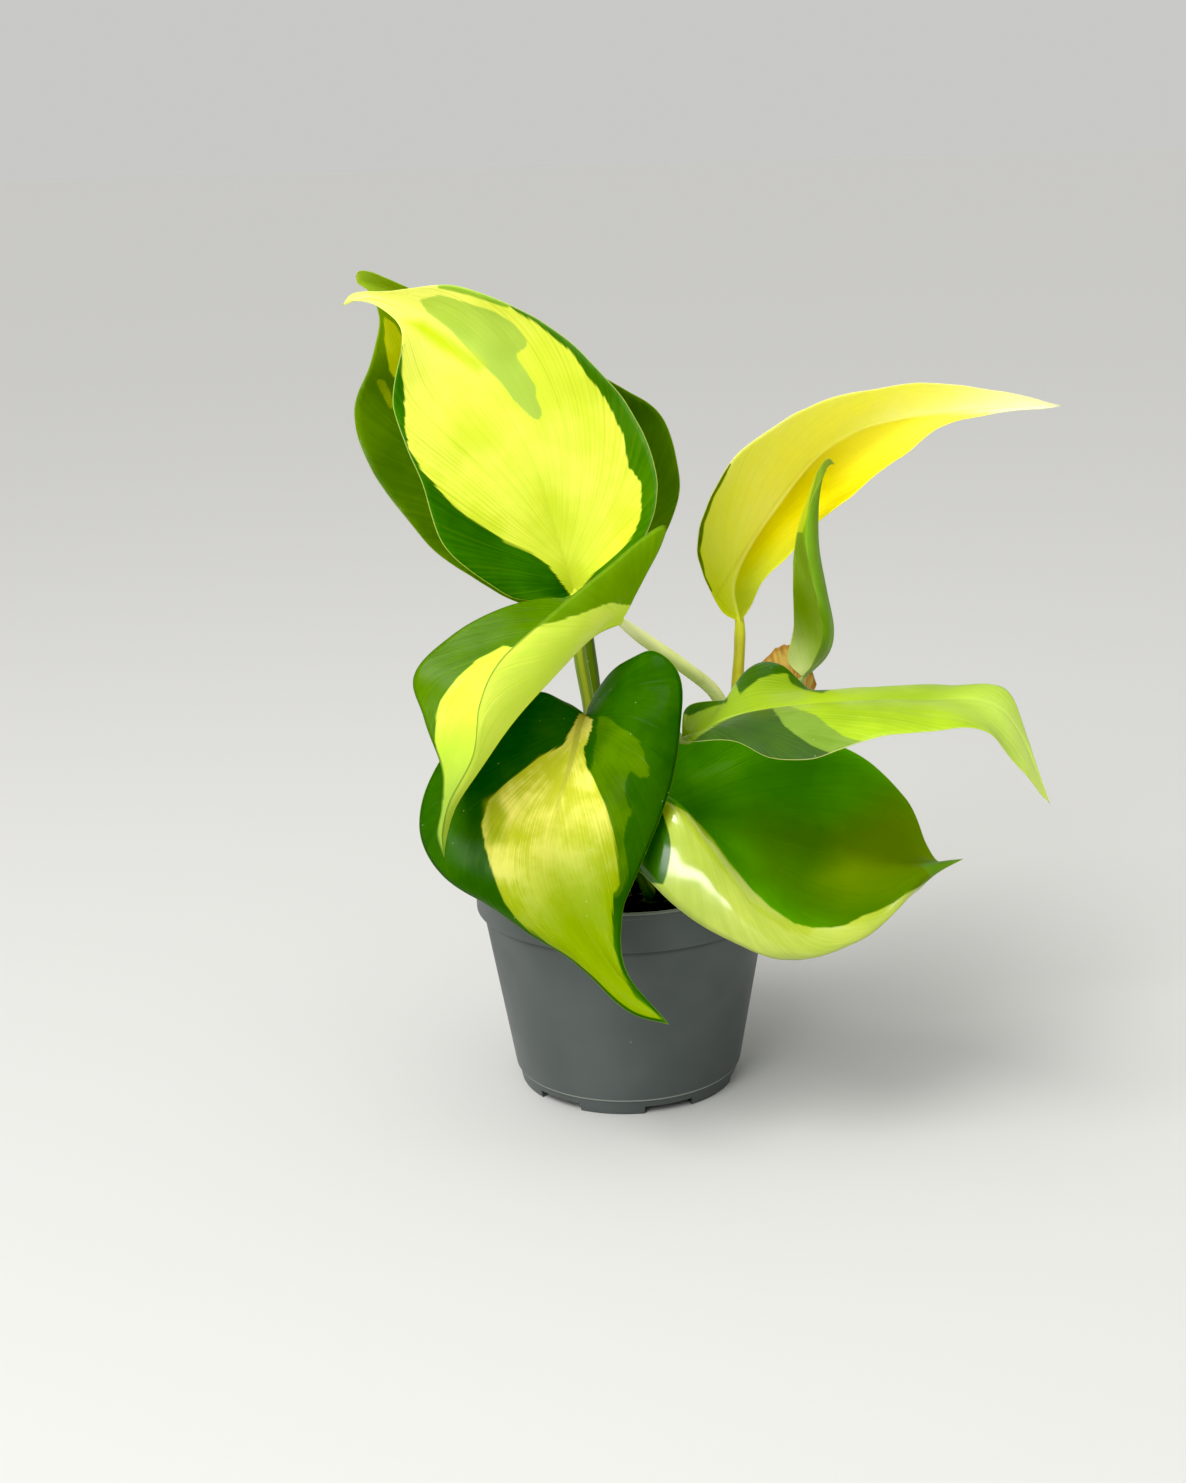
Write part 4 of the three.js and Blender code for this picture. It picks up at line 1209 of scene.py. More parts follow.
BLADES = (
    Blade(name="leaf_upper_front", slot="leaf_lime", joint=(-12, -14, 152), tip=(-73, -14, 233),
        rib=((-16, -17, 166), (-22, -21, 189), (-33, -21, 210), (-48, -17, 226), (-57, -16.5, 232),
            (-65, -16, 235)),
        left=Half(((-18, -18, 151), (-30, -29, 155), (-46, -35, 169), (-53, -33, 189),
            (-59, -31, 207), (-56.5, -27, 222), (-57.5, -22, 228.5), (-63.5, -17.5, 233.4),
            (-70, -15, 234.2)), belly=(0, 4, 0)),
        right=Half(((-8, -18, 149), (2, -29, 161), (10, -34, 179), (9, -34, 195), (-4, -32, 216),
            (-21, -30, 230), (-40, -26, 238), (-59, -18, 237), (-69.5, -14.6, 236.3)),
            belly=(0, 4, 0)),
        finish=UPPER_FRONT_FINISH),
    Blade(name="leaf_upper_back", slot="leaf_green", joint=(-10, 4, 145), tip=(-70, -3, 240),
        rib=((-10, 7, 165), (-18, 9, 189), (-34, 7, 214), (-54, 2, 232)),
        left=Half(((-15, 2, 142), (-31, -5, 149), (-52, -9, 165), (-68, -9, 188), (-72, -7, 203),
            (-67, -5, 217), (-64, -3, 228), (-66.5, -3, 235.5), (-69.5, -3, 238)), belly=(0, 4, 0)),
        right=Half(((0, 2, 143), (12, -4, 163), (18, -6, 181), (13, -7, 200), (-2, -8, 211),
            (-25, -7, 226), (-46, -7, 233), (-62, -5, 240), (-68.5, -4, 241.6)), belly=(0, 4, 0)),
        finish=UPPER_BACK_FINISH),
    Blade(name="leaf_folded_left", slot="leaf_lime", joint=(0, -40, 150), tip=(-48, -74, 95),
        rib=((-8, -46, 147), (-18, -56, 139), (-29, -64, 129), (-38, -69, 118), (-44.5, -72, 109),
            (-47.3, -73.5, 101)),
        left=Half(((5, -44, 159), (12, -50, 177), (-2, -58, 169), (-18, -67, 158), (-31, -74, 148),
            (-37, -77, 137), (-39.5, -77, 123), (-46, -76, 111), (-48.3, -75, 102)),
            belly=(0, -3, -3)),
        right=Half(((-5, -34, 154), (-18, -30, 154), (-30, -33, 153), (-45, -38, 147),
            (-56, -44, 137), (-53.5, -51, 127), (-49, -60, 116), (-48.5, -67, 107),
            (-49.8, -71.5, 100.5)), belly=(0, 3, 0)),
        finish=FOLDED_LEFT_FINISH),
    Blade(name="leaf_front_hanging", slot="leaf_green", joint=(-10, -38, 123), tip=(10, -76, 47),
        rib=((-14, -50, 112), (-18, -58, 102), (-18, -64, 85), (-6, -69, 63)),
        left=Half(((-7, -40, 130), (0, -46, 139), (8, -52, 144), (15, -56, 138), (15, -58, 124),
            (11, -60, 105), (3, -64, 87), (-2, -68, 74), (-1, -72, 61)), belly=(0, -4, 1)),
        right=Half(((-15, -40, 127), (-23, -42, 131), (-38, -46, 127), (-51, -50, 112),
            (-56, -54, 97), (-50, -58, 85), (-33, -63, 74), (-16, -68, 63), (-1, -73, 50)),
            belly=(0, -5, 0)),
        finish=FRONT_HANGING_FINISH, crease_passes=90, crease_reach=9.0),
    Blade(name="leaf_right_reaching", slot="leaf_lime", joint=(16, -42, 116), tip=(111, -70, 104),
        rib=((32, -46, 124), (53, -52, 128), (76, -59, 130), (98, -66, 129)),
        left=Half(((18, -36, 124), (32, -27, 124), (37, -21, 131), (45, -20, 131), (55, -24, 124),
            (71, -34, 127), (90, -46, 130), (101, -56, 132), (106, -64, 120)), belly=(0, 0, 2)),
        right=Half(((17, -50, 118), (29, -62, 121), (38, -71, 119), (48, -77, 120), (60, -82, 126),
            (79, -84, 129), (92, -82, 127), (102, -77, 115)), belly=(0, 0, 3)),
        finish=RIGHT_REACHING_FINISH),
    Blade(name="leaf_cupped_right", slot="leaf_green", joint=(-2, -20, 85), tip=(93, -46, 81),
        rib=((13, -30, 89), (35, -38, 88), (57, -43, 83), (77, -46, 80)),
        left=Half(((1, -14, 97), (16, -12, 107), (40, -12, 111), (65, -14, 104), (80, -21, 92),
            (85, -32, 81), (88, -40, 78)), belly=(0, 4, -3)),
        right=Half(crest=((1.8, -41, 94.5), (11.8, -52.5, 102.3), (23, -59.5, 91), (35, -63, 77),
            (47, -65, 69), (58, -64, 69), (69, -60, 72), (80, -53, 80)), edge=((0, -45, 84.2),
            (4, -57.4, 83.2), (17, -64.4, 72.5), (32.5, -67.8, 64.4), (46, -67, 60.7),
            (59, -62, 64), (72, -57, 71), (84, -51, 78)),),
        finish=CUPPED_RIGHT_FINISH, columns=36, groove=0.12, quilt=0.06, crease_passes=60,
        crease_reach=6.0),
    Blade(name="leaf_yellow_arching", slot="leaf_yellow", joint=(36, 14, 136), tip=(130, 15, 197),
        rib=((35, 17, 148), (46, 21, 166), (65, 23, 187), (92, 19, 195)),
        left=Half(((30, 11, 141), (24, 4, 156), (25, 0, 171), (33, -2, 186), (50, 2, 198),
            (73, 8, 204), (100, 13, 204)), belly=(0, 4, 0)),
        right=Half(((38, 9, 140), (42, 0, 151), (51, -5, 162), (64, -5, 174), (81, 2, 185),
            (99, 10, 194)), belly=(0, 4, 0)),
        finish=YELLOW_ARCHING_FINISH, groove=0.05, quilt=0.08),
    Blade(name="leaf_young_rolled", slot="leaf_green", joint=(53, -2, 123), tip=(60.4, -17, 186.8),
        rib=((59, -7, 130), (60.5, -11, 138), (58.2, -14, 150), (55.8, -16, 163), (55.6, -17, 176),
            (56.8, -17, 184), (58.8, -17, 187.4)),
        left=Half(((49, 1, 127), (50.5, -1, 137), (50, -5, 149), (50, -6, 159), (51.5, -9, 170),
            (54.4, -14, 181), (56.2, -16, 185.8), (58.6, -16.8, 188.4)), belly=(1, 2, 0)),
        right=Half(((55, -11, 129), (57, -17, 139), (55.5, -21, 148), (53.5, -21, 157),
            (52, -21, 165), (53, -20, 176), (56.4, -18, 183), (58.8, -17.3, 186.4)),
            belly=(1, -2, 0)),
        finish=YOUNG_ROLLED_FINISH, columns=22, groove=0.3, rib_swell=0.7),
)
BLADE_BY_NAME = {blade.name: blade for blade in BLADES}


@dataclass(frozen=True)
class StalkFinish(Finish):
    """A petiole's finish: green skin, a painted lit side towards the viewer, a coloured foot and
    fine long lines.
    """

    skin: Colour
    lit_side_and_streaks: Colour
    foot: Colour
    head: Colour | None = None
    foot_reach: float = 0.15
    fibre_scale: Point = (14.0, 5.0, 3.0)
    fibre_cover: Point = (0.4, 0.75, 0.35)
    mottle_scale: Span = (120.0, 1500.0)
    stain_cover: Point = (0.5, 0.7, 0.25)
    lit_side_span: Span = (0.78, 0.99)
    lit_side_share: float = 0.8
    head_cover: Point = (0.84, 0.98, 0.85)
    speck: Colour = 0xE1E4AA
    speck_size: Point = (420.0, 0.12, 0.22)
    speck_share: float = 0.5
    roughness: Ramp = (0.3, 0.7, 0.36, 0.5)
    relief: Span = (0.4, 0.2)

    def surface(self, wire: Wiring) -> Shading:
        """Works out the petiole\'s colour, gloss and relief."""
        along = wire.attribute("along")
        fibres = wire.fibres(*self.fibre_scale)
        cloud, grain = EFFECTS.clouds(wire, *self.mottle_scale)
        # The side facing the viewer is lightened, as painted light; the same pale colour also draws
        # the fine long lines.
        lit = wire.step(wire.attribute("front"), *self.lit_side_span)
        colour = wire.lay(self.skin, self.lit_side_and_streaks, lit, self.lit_side_share)
        colour = wire.cover(colour, self.lit_side_and_streaks, fibres, *self.fibre_cover)
        colour = wire.cover(colour, self.foot, cloud, *self.stain_cover)
        colour = wire.cover(colour, self.foot, along, self.foot_reach, 0.0)
        colour = wire.cover(colour, self.head or self.lit_side_and_streaks, along, *self.head_cover)
        specks = EFFECTS.dots(wire, *self.speck_size)
        return wire.lay(colour, self.speck, specks, self.speck_share), grain, fibres


@dataclass(frozen=True)
class Petiole:
    """A stalk from its stump to its blade's joint, which runs out under the blade's midrib."""

    name: str
    route: Route
    blade: str
    finish: StalkFinish
    foot_radius: float = 2.0
    waist_radius: float = 1.5
    tip_radius: float = 1.25
    foot_swell: float = 1.15
    tip_taper: Span = (0.75, 0.35)
    stops: tuple[float, ...] = (0.0, 0.06, 0.25, 0.9, 0.97, 1.0)
    joint_row: int = 3
    joint_gap: float = 4.5
    under_row: int = 22
    groove: float = 0.1
    groove_width: float = 0.12
    ripple: float = 0.03
    ripple_count: float = 9.0
    sides: int = 24
    rings: int = 130

    def path(self) -> Array:
        """Gives the route's points, ended at the blade's joint and a little under its midrib."""
        blade = BLADE_BY_NAME[self.blade]
        route = np.array(self.route, float)
        away = np.linalg.norm(route - np.array(blade.joint, float), axis=1)
        ends = [blade.rib_point(self.joint_row, 0.4 * self.tip_radius)]
        if self.under_row > self.joint_row:
            ends.append(blade.rib_point(self.under_row, 0.35 * self.tip_radius + 0.45))
        return np.vstack([route[away > self.joint_gap], ends])

    def build(self, slot: str) -> Piece:
        """Builds the stalk: a ring carried along the route.

        The ring's radius falls from the foot to the waist and the tip, and its shape is a circle
        with a shallow groove on the side that faces the viewer. Both ends close to a point.

        Args:
            slot: not used.

        Returns:
            The finished piece.
        """
        shares = np.linspace(0, 1, self.rings)
        center = curve_points(self.path(), shares)
        ahead = unit(np.gradient(center, axis=0))
        level = np.array([1.0, 0.0, 0.0])
        beside = unit(level - (ahead @ level)[:, None] * ahead)
        outward = np.cross(ahead, beside)
        radii = [self.foot_radius * self.foot_swell, self.foot_radius, self.waist_radius,
                 self.tip_radius, *[self.tip_radius * taper for taper in self.tip_taper]]
        radius = np.interp(shares, self.stops, radii)
        angle = turns(self.sides)
        groove = 1 - self.groove * bell(1 - np.cos(angle + np.pi / 2), self.groove_width)
        swing = self.ripple * np.sin(self.ripple_count * shares * np.pi)
        reach = radius[:, None] * groove[None] * (1 + swing[:, None] * np.cos(2 * angle)[None])
        ring = (np.cos(angle)[None, :, None] * beside[:, None]
                + np.sin(angle)[None, :, None] * outward[:, None])
        points, quads, fans = capped_rings(center[:, None] + reach[..., None] * ring, center[0],
                                           center[-1])
        values = {
            "along": spread(shares[:, None], reach.shape, 0, 1),
            "around": spread(np.sin(angle)[None], reach.shape, 0, 0),
            "front": spread(-ring[..., 1], reach.shape, 0, 0),
        }
        piece = make_object(self.name, points, quads, fans, values)
        piece.data.materials.append(self.finish.material(self.name))
        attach(piece, BODY)
        return piece


@dataclass(frozen=True)
class StumpFinish(Finish):
    """A vine stump's finish: olive brown skin, paler rings at its nodes."""

    skin: Colour = 0x4A501E
    bark: Colour = 0x3A2E18
    ring: Colour = 0x787A3C
    mottle_scale: Span = (260.0, 1300.0)
    bark_cover: Span = (0.42, 0.62)
    ring_cover: Point = (0.3, 0.9, 0.7)
    roughness: Ramp = (0.3, 0.7, 0.55, 0.8)
    relief: Span = (0.5, 0.4)

    def surface(self, wire: Wiring) -> Shading:
        """Works out the stump\'s colour, gloss and relief."""
        cloud, grain = EFFECTS.clouds(wire, *self.mottle_scale)
        colour = wire.cover(self.skin, self.bark, cloud, *self.bark_cover)
        colour = wire.cover(colour, self.ring, wire.attribute("node_ring"), *self.ring_cover)
        return colour, grain, grain


@dataclass(frozen=True)
class Stem:
    """A vine stump in the peat, and the petioles that leave it."""

    name: str
    at: Span
    radius: float
    petioles: tuple[Petiole, ...]
    slot: str = "stem"
    foot: float = 40.0
    top: float = 62.5
    waist: float = 0.92
    node_shares: Span = (0.55, 0.82)
    node_width: float = 0.04
    node_swell: float = 0.1
    dome_start: float = 0.86
    dome_reach: float = 0.14
    dome_least: float = 0.02
    lobes: Span = (0.05, 0.03)
    rings: int = 60
    sides: int = 36

    def build(self) -> list[Piece]:
        """Builds the stump and its petioles.

        The stump is a ring carried straight up, swollen at two nodes by bell curves of the height,
        with a small lobed unevenness, and closed by a dome.

        Returns:
            The stump and the petioles.
        """
        shares = np.linspace(0, 1, self.rings)
        past = ((shares - self.dome_start) / self.dome_reach).clip(0, 1)
        dome = np.sqrt(np.clip(1 - past**2, 0, 1))
        low, high = self.node_shares
        nodes = bell(shares - low, self.node_width) + bell(shares - high, self.node_width)
        angle = turns(self.sides)
        broad, small = self.lobes
        lobes = 1 + broad * np.cos(3 * angle + self.at[0])[None] + small * np.sin(5 * angle)[None]
        girth = self.radius * (self.waist + self.node_swell * nodes)
        reach = girth[:, None] * lobes * np.maximum(dome, self.dome_least)[:, None]
        height = self.foot + (self.top - self.foot) * shares
        surface = np.stack([
            self.at[0] + reach * np.cos(angle),
            self.at[1] + reach * np.sin(angle),
            np.broadcast_to(height[:, None], reach.shape),
        ], axis=-1)
        points, quads, fans = capped_rings(surface, (*self.at, self.foot), (*self.at, self.top))
        values = {"node_ring": spread(nodes[:, None], reach.shape, 0, 0)}
        stump = make_object(self.name + "_stump", points, quads, fans, values)
        stump.data.materials.append(StumpFinish().material(self.name + "_stump"))
        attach(stump, BODY)
        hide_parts(self.name)
        return [stump, *[petiole.build(self.slot) for petiole in self.petioles]]


STEMS = (
    Stem("stem_left", (-7, -2), 4.0, (
        Petiole("petiole_upper_front", ((-7, -3, 59), (-8, -6, 88), (-9, -9, 115),
            (-11.5, -12, 135), (-12, -13, 148)), "leaf_upper_front", StalkFinish(0x74960A, 0xD6E046,
            0x6E7E18, 0xDEEA46), waist_radius=2.0, tip_radius=1.8, under_row=16),
        Petiole("petiole_upper_back", ((-6.5, -1, 59), (-5.5, 3.5, 88), (-6.7, 4, 111),
            (-8.6, 4, 131), (-9.7, 5.5, 143)), "leaf_upper_back", StalkFinish(0x4C6A0A, 0x708E18,
            0x5C6A14), waist_radius=1.9, tip_radius=1.8),
        Petiole("petiole_front_hanging", ((-7.5, -4, 59), (-9, -17, 84), (-9.5, -28, 107),
            (-10, -35, 118)), "leaf_front_hanging", StalkFinish(0x7E9A28, 0xB2C050, 0x748022),
            under_row=3, waist_radius=1.7),
    )),
    Stem("stem_right", (29, 8), 4.5, (
        Petiole("petiole_folded_left", ((28, 6, 59), (31, 4, 84), (31, -4, 107), (27, -16.5, 122),
            (16.5, -28, 134), (6.5, -35, 143)), "leaf_folded_left", StalkFinish(0xF6FCA4, 0xFAFDBE,
            0xC4CA6E), under_row=16, waist_radius=2.05, tip_radius=1.85),
        Petiole("petiole_yellow_arching", ((29.5, 9.5, 59), (34, 13, 87), (35, 14, 113),
            (36, 15, 127)), "leaf_yellow_arching", StalkFinish(0xB6B818, 0xD2D036, 0xA87C16,
            0xDEE224, foot_reach=0.8), waist_radius=1.9, tip_radius=1.7, under_row=17),
        Petiole("petiole_young_rolled", ((31, 8, 59), (40, 10, 85), (48, 6, 108), (52, 1, 119)),
            "leaf_young_rolled", StalkFinish(0x829646, 0xAAB964, 0x8C7832), under_row=3),
    )),
    Stem("stem_front", (9, -10), 3.6, (
        Petiole("petiole_right_reaching", ((9.5, -9.5, 59), (8, -5, 80), (7, -5, 99),
            (8.5, -15, 111.5), (13, -31, 116.5)), "leaf_right_reaching", StalkFinish(0x789B3C,
            0xAABE5A, 0x6E7832)),
        Petiole("petiole_cupped_right", ((8, -11, 59), (3, -13, 69), (-2.5, -15.5, 77)),
            "leaf_cupped_right", StalkFinish(0x6E9137, 0xA0B450, 0x6E7832), under_row=8),
    )),
)


@dataclass(frozen=True)
class PaperFinish(Finish):
    """The dry sheath's finish: brown paper with lengthwise fibres and darker torn edges."""

    paper: Colour = 0xD2AE52
    fibre: Colour = 0xB88632
    torn: Colour = 0x9A662C
    fibre_scale: Point = (26.0, 3.0, 4.0)
    fibre_cover: Span = (0.4, 0.62)
    mottle_scale: Span = (220.0, 1500.0)
    stain_cover: Point = (0.54, 0.7, 0.5)
    edge_cover: Point = (0.93, 1.0, 0.6)
    roughness: Ramp = (0.3, 0.7, 0.6, 0.85)
    relief: Span = (0.7, 0.4)

    def surface(self, wire: Wiring) -> Shading:
        """Works out the sheath\'s colour, gloss and relief."""
        fibres = wire.fibres(*self.fibre_scale)
        cloud, _ = EFFECTS.clouds(wire, *self.mottle_scale)
        colour = wire.cover(self.paper, self.fibre, fibres, *self.fibre_cover)
        colour = wire.cover(colour, self.torn, cloud, *self.stain_cover)
        colour = wire.cover(colour, self.torn, wire.attribute("along"), *self.edge_cover)
        return colour, fibres, fibres


@dataclass(frozen=True)
class Sheath:
    """A dry papery shell behind the young leaf's petiole, open in front, with two flared sides."""

    left: Route = ((45, 9, 105), (43, 9, 111), (40, 8.5, 116), (38.5, 8, 120))
    back: Route = ((47.5, 9.3, 105), (49.5, 8.4, 112), (50.5, 6.6, 121), (49.5, 6, 131))
    right: Route = ((51, 7, 105), (54, 6, 110), (56.5, 5.2, 115), (58, 4.5, 119))
    rows: int = 70
    columns: int = 60
    thickness: float = 0.35
    tear: float = 0.05
    tear_count: float = 9.0
    wrinkle: float = 0.35
    wrinkle_count: Span = (12.0, 2.5)
    wrinkle_start: float = 0.3
    seed: int = 21

    def build(self) -> Piece:
        """Builds the shell.

        Each row is the parabola through its three lines. Wrinkles that run upwards stand off it by
        a seeded height, the upper end is torn by a seeded height too, and the shell has even
        thickness.

        Returns:
            The finished piece.
        """
        shares = np.linspace(0, 1, self.rows)
        across = np.linspace(0, 1, self.columns)
        uneven = Roughness2D(self.seed)
        torn = 1 - self.tear * (0.5 + 0.5 * uneven.layered(across * self.tear_count, across * 0, 3))
        place = shares[:, None] * torn[None]
        lines = [curve_points(np.array(route, float), place.ravel()).reshape(*place.shape, 3)
                 for route in (self.left, self.back, self.right)]
        middle = parabola(*lines, across[None, :, None])
        normals = unit(np.cross(np.gradient(middle, axis=1), np.gradient(middle, axis=0)))
        beside, upwards = self.wrinkle_count
        wrinkle = uneven.layered(across[None] * beside + 0 * place, place * upwards, 3)
        raised = self.wrinkle * wrinkle * smoothstep(place, 0.0, self.wrinkle_start)
        middle = middle + normals * raised[..., None]
        half = normals * self.thickness / 2
        points = np.concatenate([(middle + half).reshape(-1, 3), (middle - half).reshape(-1, 3)])
        values = {"along": np.tile(spread(shares[:, None], place.shape), 2),
                  "around": np.tile(spread(across[None], place.shape), 2)}
        quads = sheet_quads(self.rows, self.columns, ends=True)
        piece = make_object("dry_sheath", points, quads, None, values)
        piece.data.materials.append(PaperFinish().material("dry_sheath"))
        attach(piece, BODY)
        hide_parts("sheath")
        return piece


@dataclass(frozen=True)
class PlasticFinish(Finish):
    """The pot's finish: blue-grey moulded plastic, faintly clouded, with dust, painted edge
    highlights and a painted shadow.
    """

    plastic: Colour = 0x4F5654
    cloud: Colour = 0x474E4C
    dust: Colour = 0x828272
    edge_highlight: Colour = 0xAAB0A8
    shadow: Colour = 0x1A1D18
    mottle_scale: Span = (28.0, 2600.0)
    cloud_cover: Span = (0.35, 0.65)
    dust_size: Point = (240.0, 0.06, 0.09)
    dust_share: float = 0.7
    edge_highlight_levels: tuple[float, ...] = (4.9, 66.9)
    edge_highlight_width: float = 0.4
    edge_highlight_share: float = 0.7
    band_foot: float = 55.0
    band_gap: float = 0.02
    shadow_reach: float = 2.4
    shadow_share: float = 0.9
    roughness: Ramp = (0.3, 0.7, 0.42, 0.54)
    relief: Span = (0.25, 0.2)

    def surface(self, wire: Wiring) -> Shading:
        """Works out the pot's colour, gloss and relief, with painted highlight lines and a painted
        shadow by height.
        """
        clouds, grain = EFFECTS.clouds(wire, *self.mottle_scale)
        colour = wire.cover(self.plastic, self.cloud, clouds, *self.cloud_cover)
        colour = wire.lay(colour, self.dust, EFFECTS.dots(wire, *self.dust_size), self.dust_share)
        height = wire.node("SeparateXYZ", {0: wire.place()}).outputs["Z"]
        # Pale lines at the step's and the rim's edges are painted highlights, where those edges
        # catch the light.
        width = self.edge_highlight_width * MM
        for level in self.edge_highlight_levels:
            away = wire.math("ABSOLUTE", wire.math("SUBTRACT", height, level * MM))
            colour = wire.cover(colour, self.edge_highlight, away, width, width / 2, self.edge_highlight_share)
        start, end = (self.band_foot - self.shadow_reach) * MM, self.band_foot * MM
        shaded = wire.step(height, start, end, 0.0, self.shadow_share)
        below = wire.math("LESS_THAN", height, (self.band_foot + self.band_gap) * MM)
        return wire.blend(wire.times(shaded, below), colour, self.shadow), clouds, grain


@dataclass(frozen=True)
class Pot:
    """A thin tapered tub with a straight rim band, a stepped foot, drain holes and foot notches."""

    height: float = 67.0
    rim_radius: float = 45.0
    lip_height: float = 2.0
    lip_overhang: float = 0.6
    lip_chamfer: float = 0.4
    lip_slope: float = 0.3
    band_height: float = 12.0
    body_top_radius: float = 42.6
    step_height: float = 5.0
    step_radius: float = 34.2
    step_chamfer: float = 0.6
    foot_top_radius: float = 33.5
    foot_radius: float = 32.6
    wall: float = 1.3
    inner_step: float = 0.6
    inner_bend: float = 1.0
    floor_height: float = 3.2
    floor_thickness: float = 1.3
    ring_width: float = 2.2
    pad_radius: float = 8.0
    rounding: float = 0.45
    arc_points: int = 5
    long_side: float = 8.0
    side_points: int = 7
    sides: int = 220
    drains: int = 8
    drain_radius: float = 3.6
    drain_ring: float = 21.0
    drill_sides: int = 32
    drill_top: float = 6.0
    over_cut: float = 1.0
    notches: int = 6
    notch_width: float = 15.0
    notch_height: float = 2.5
    first_notch: float = -70.0
    sharp_angle: float = 50.0

    @property
    def floor_top(self) -> float:
        """Gives the height of the floor's upper side."""
        return self.floor_height + self.floor_thickness

    def wall_radius(self, height: float) -> float:
        """Gives the outer radius of the tapered wall at a height."""
        share = (height - self.step_height) / (self.height - self.band_height - self.step_height)
        return self.step_radius + (self.body_top_radius - self.step_radius) * share

    def profile(self) -> Array:
        """Gives the section's corners (radius, height), from the pad round to the floor."""
        band_foot = self.height - self.band_height
        lip_foot = self.height - self.lip_height
        band = self.rim_radius - self.lip_overhang
        ring = self.foot_radius - self.ring_width
        bend = band_foot - self.inner_bend
        return np.array([
            (0.0, 0.0),
            (self.pad_radius, 0.0),
            (self.pad_radius, self.floor_height),
            (ring, self.floor_height),
            (ring, 0.0),
            (self.foot_radius, 0.0),
            (self.foot_top_radius, self.step_height - self.step_chamfer),
            (self.step_radius, self.step_height),
            (self.body_top_radius, band_foot),
            (band, band_foot),
            (band, lip_foot),
            (self.rim_radius, lip_foot + self.lip_chamfer),
            (self.rim_radius, self.height),
            (self.rim_radius - self.wall - self.lip_slope, self.height),
            (band - self.wall, lip_foot),
            (self.body_top_radius - self.wall + self.inner_step, band_foot + self.inner_bend),
            (self.wall_radius(bend) - self.wall, bend),
            (self.wall_radius(self.floor_top) - self.wall, self.floor_top),
            (0.0, self.floor_top),
        ])

    def rounded_profile(self) -> Array:
        """Rounds the section's corners: each gives way to a parabola between points beside it.

        Long sides are divided, so that the faces on them stay of a like size.

        Returns:
            (n, 2) points of the section.
        """
        corners = self.profile()
        before, corner, after = corners[:-2], corners[1:-1], corners[2:]
        lengths = [np.linalg.norm(corner - before, axis=1), np.linalg.norm(after - corner, axis=1)]
        cut = np.minimum(self.rounding, 0.4 * np.minimum(*lengths))[:, None]
        start, end = corner + unit(before - corner) * cut, corner + unit(after - corner) * cut
        shares = np.linspace(0, 1, self.arc_points)[None, :, None]
        arcs = (start[:, None] * (1 - shares) ** 2 + corner[:, None] * 2 * shares * (1 - shares)
                + end[:, None] * shares**2)
        line = np.vstack([corners[:1], arcs.reshape(-1, 2), corners[-1:]])
        gaps = np.linalg.norm(np.diff(line, axis=0), axis=1)
        places = np.concatenate([[0.0], np.cumsum(gaps)])
        extra = [np.linspace(places[index], places[index + 1], self.side_points)[1:-1]
                 for index in np.flatnonzero(gaps > self.long_side)]
        wanted = np.sort(np.concatenate([places, *extra]))
        return np.stack([np.interp(wanted, places, line[:, axis]) for axis in (0, 1)], axis=1)

    def _cutter(self) -> Piece:
        """Builds the drills for the drain holes and the blocks for the notches, as closed prisms.

        Returns:
            An object whose volume is taken from the tub.
        """
        points: list[Array] = []
        faces: list[tuple[int, ...]] = []

        def add_prism(outline: Array, low: float, high: float) -> None:
            """Adds an upright prism over an outline that runs anticlockwise."""
            base, count = sum(map(len, points)), len(outline)
            foot, head = range(base, base + count), range(base + count, base + 2 * count)
            points.extend(np.column_stack([outline, np.full(count, z)]) for z in (low, high))
            faces.extend([tuple(foot[::-1]), tuple(head)])
            pairs = [(a, (a + 1) % count) for a in range(count)]
            faces.extend((foot[a], foot[b], head[b], head[a]) for a, b in pairs)

        angle = turns(self.drill_sides)
        circle = self.drain_radius * np.column_stack([np.cos(angle), np.sin(angle)])
        depth, half = self.ring_width * 2, self.notch_width / 2
        block = np.array([(-depth, -half), (depth, -half), (depth, half), (-depth, half)])
        block[:, 0] += self.foot_radius - self.ring_width / 2
        for turn in turns(self.drains):
            center = self.drain_ring * np.array([math.cos(turn), math.sin(turn)])
            add_prism(circle + center, self.floor_height - self.over_cut, self.drill_top)
        for turn in turns(self.notches) + math.radians(self.first_notch):
            spin = np.array([[math.cos(turn), math.sin(turn)], [-math.sin(turn), math.cos(turn)]])
            add_prism(block @ spin, -self.over_cut, self.notch_height)
        mesh = bpy.data.meshes.new("pot_cutter")
        mesh.from_pydata((np.vstack(points) * MM).tolist(), [], faces)
        return add_object("pot_cutter", mesh)

    def build(self) -> Piece:
        """Builds the tub: the rounded section turned about the axis, less the holes and notches.

        Returns:
            The finished piece.
        """
        line = self.rounded_profile()[1:-1]
        angle = turns(self.sides)
        radius, height = line[:, :1], line[:, 1:]
        surface = np.stack([radius * np.cos(angle), radius * np.sin(angle),
                            np.broadcast_to(height, (len(line), self.sides))], axis=-1)
        skin = capped_rings(surface, (0, 0, 0), (0, 0, self.floor_top))
        piece = make_object("nursery_pot", *skin)
        cutter = self._cutter()
        cut = piece.modifiers.new("cut", "BOOLEAN")
        cut.operation, cut.object, cut.solver = "DIFFERENCE", cutter, "EXACT"
        whole = piece.evaluated_get(bpy.context.evaluated_depsgraph_get())
        finished = bpy.data.meshes.new_from_object(whole)
        piece.modifiers.clear()
        piece.data = finished
        bpy.data.objects.remove(cutter)
        finished.set_sharp_from_angle(angle=math.radians(self.sharp_angle))
        finished.materials.clear()
        finished.materials.append(PlasticFinish().material("nursery_pot"))
        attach(piece, BODY)
        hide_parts("pot")
        return piece


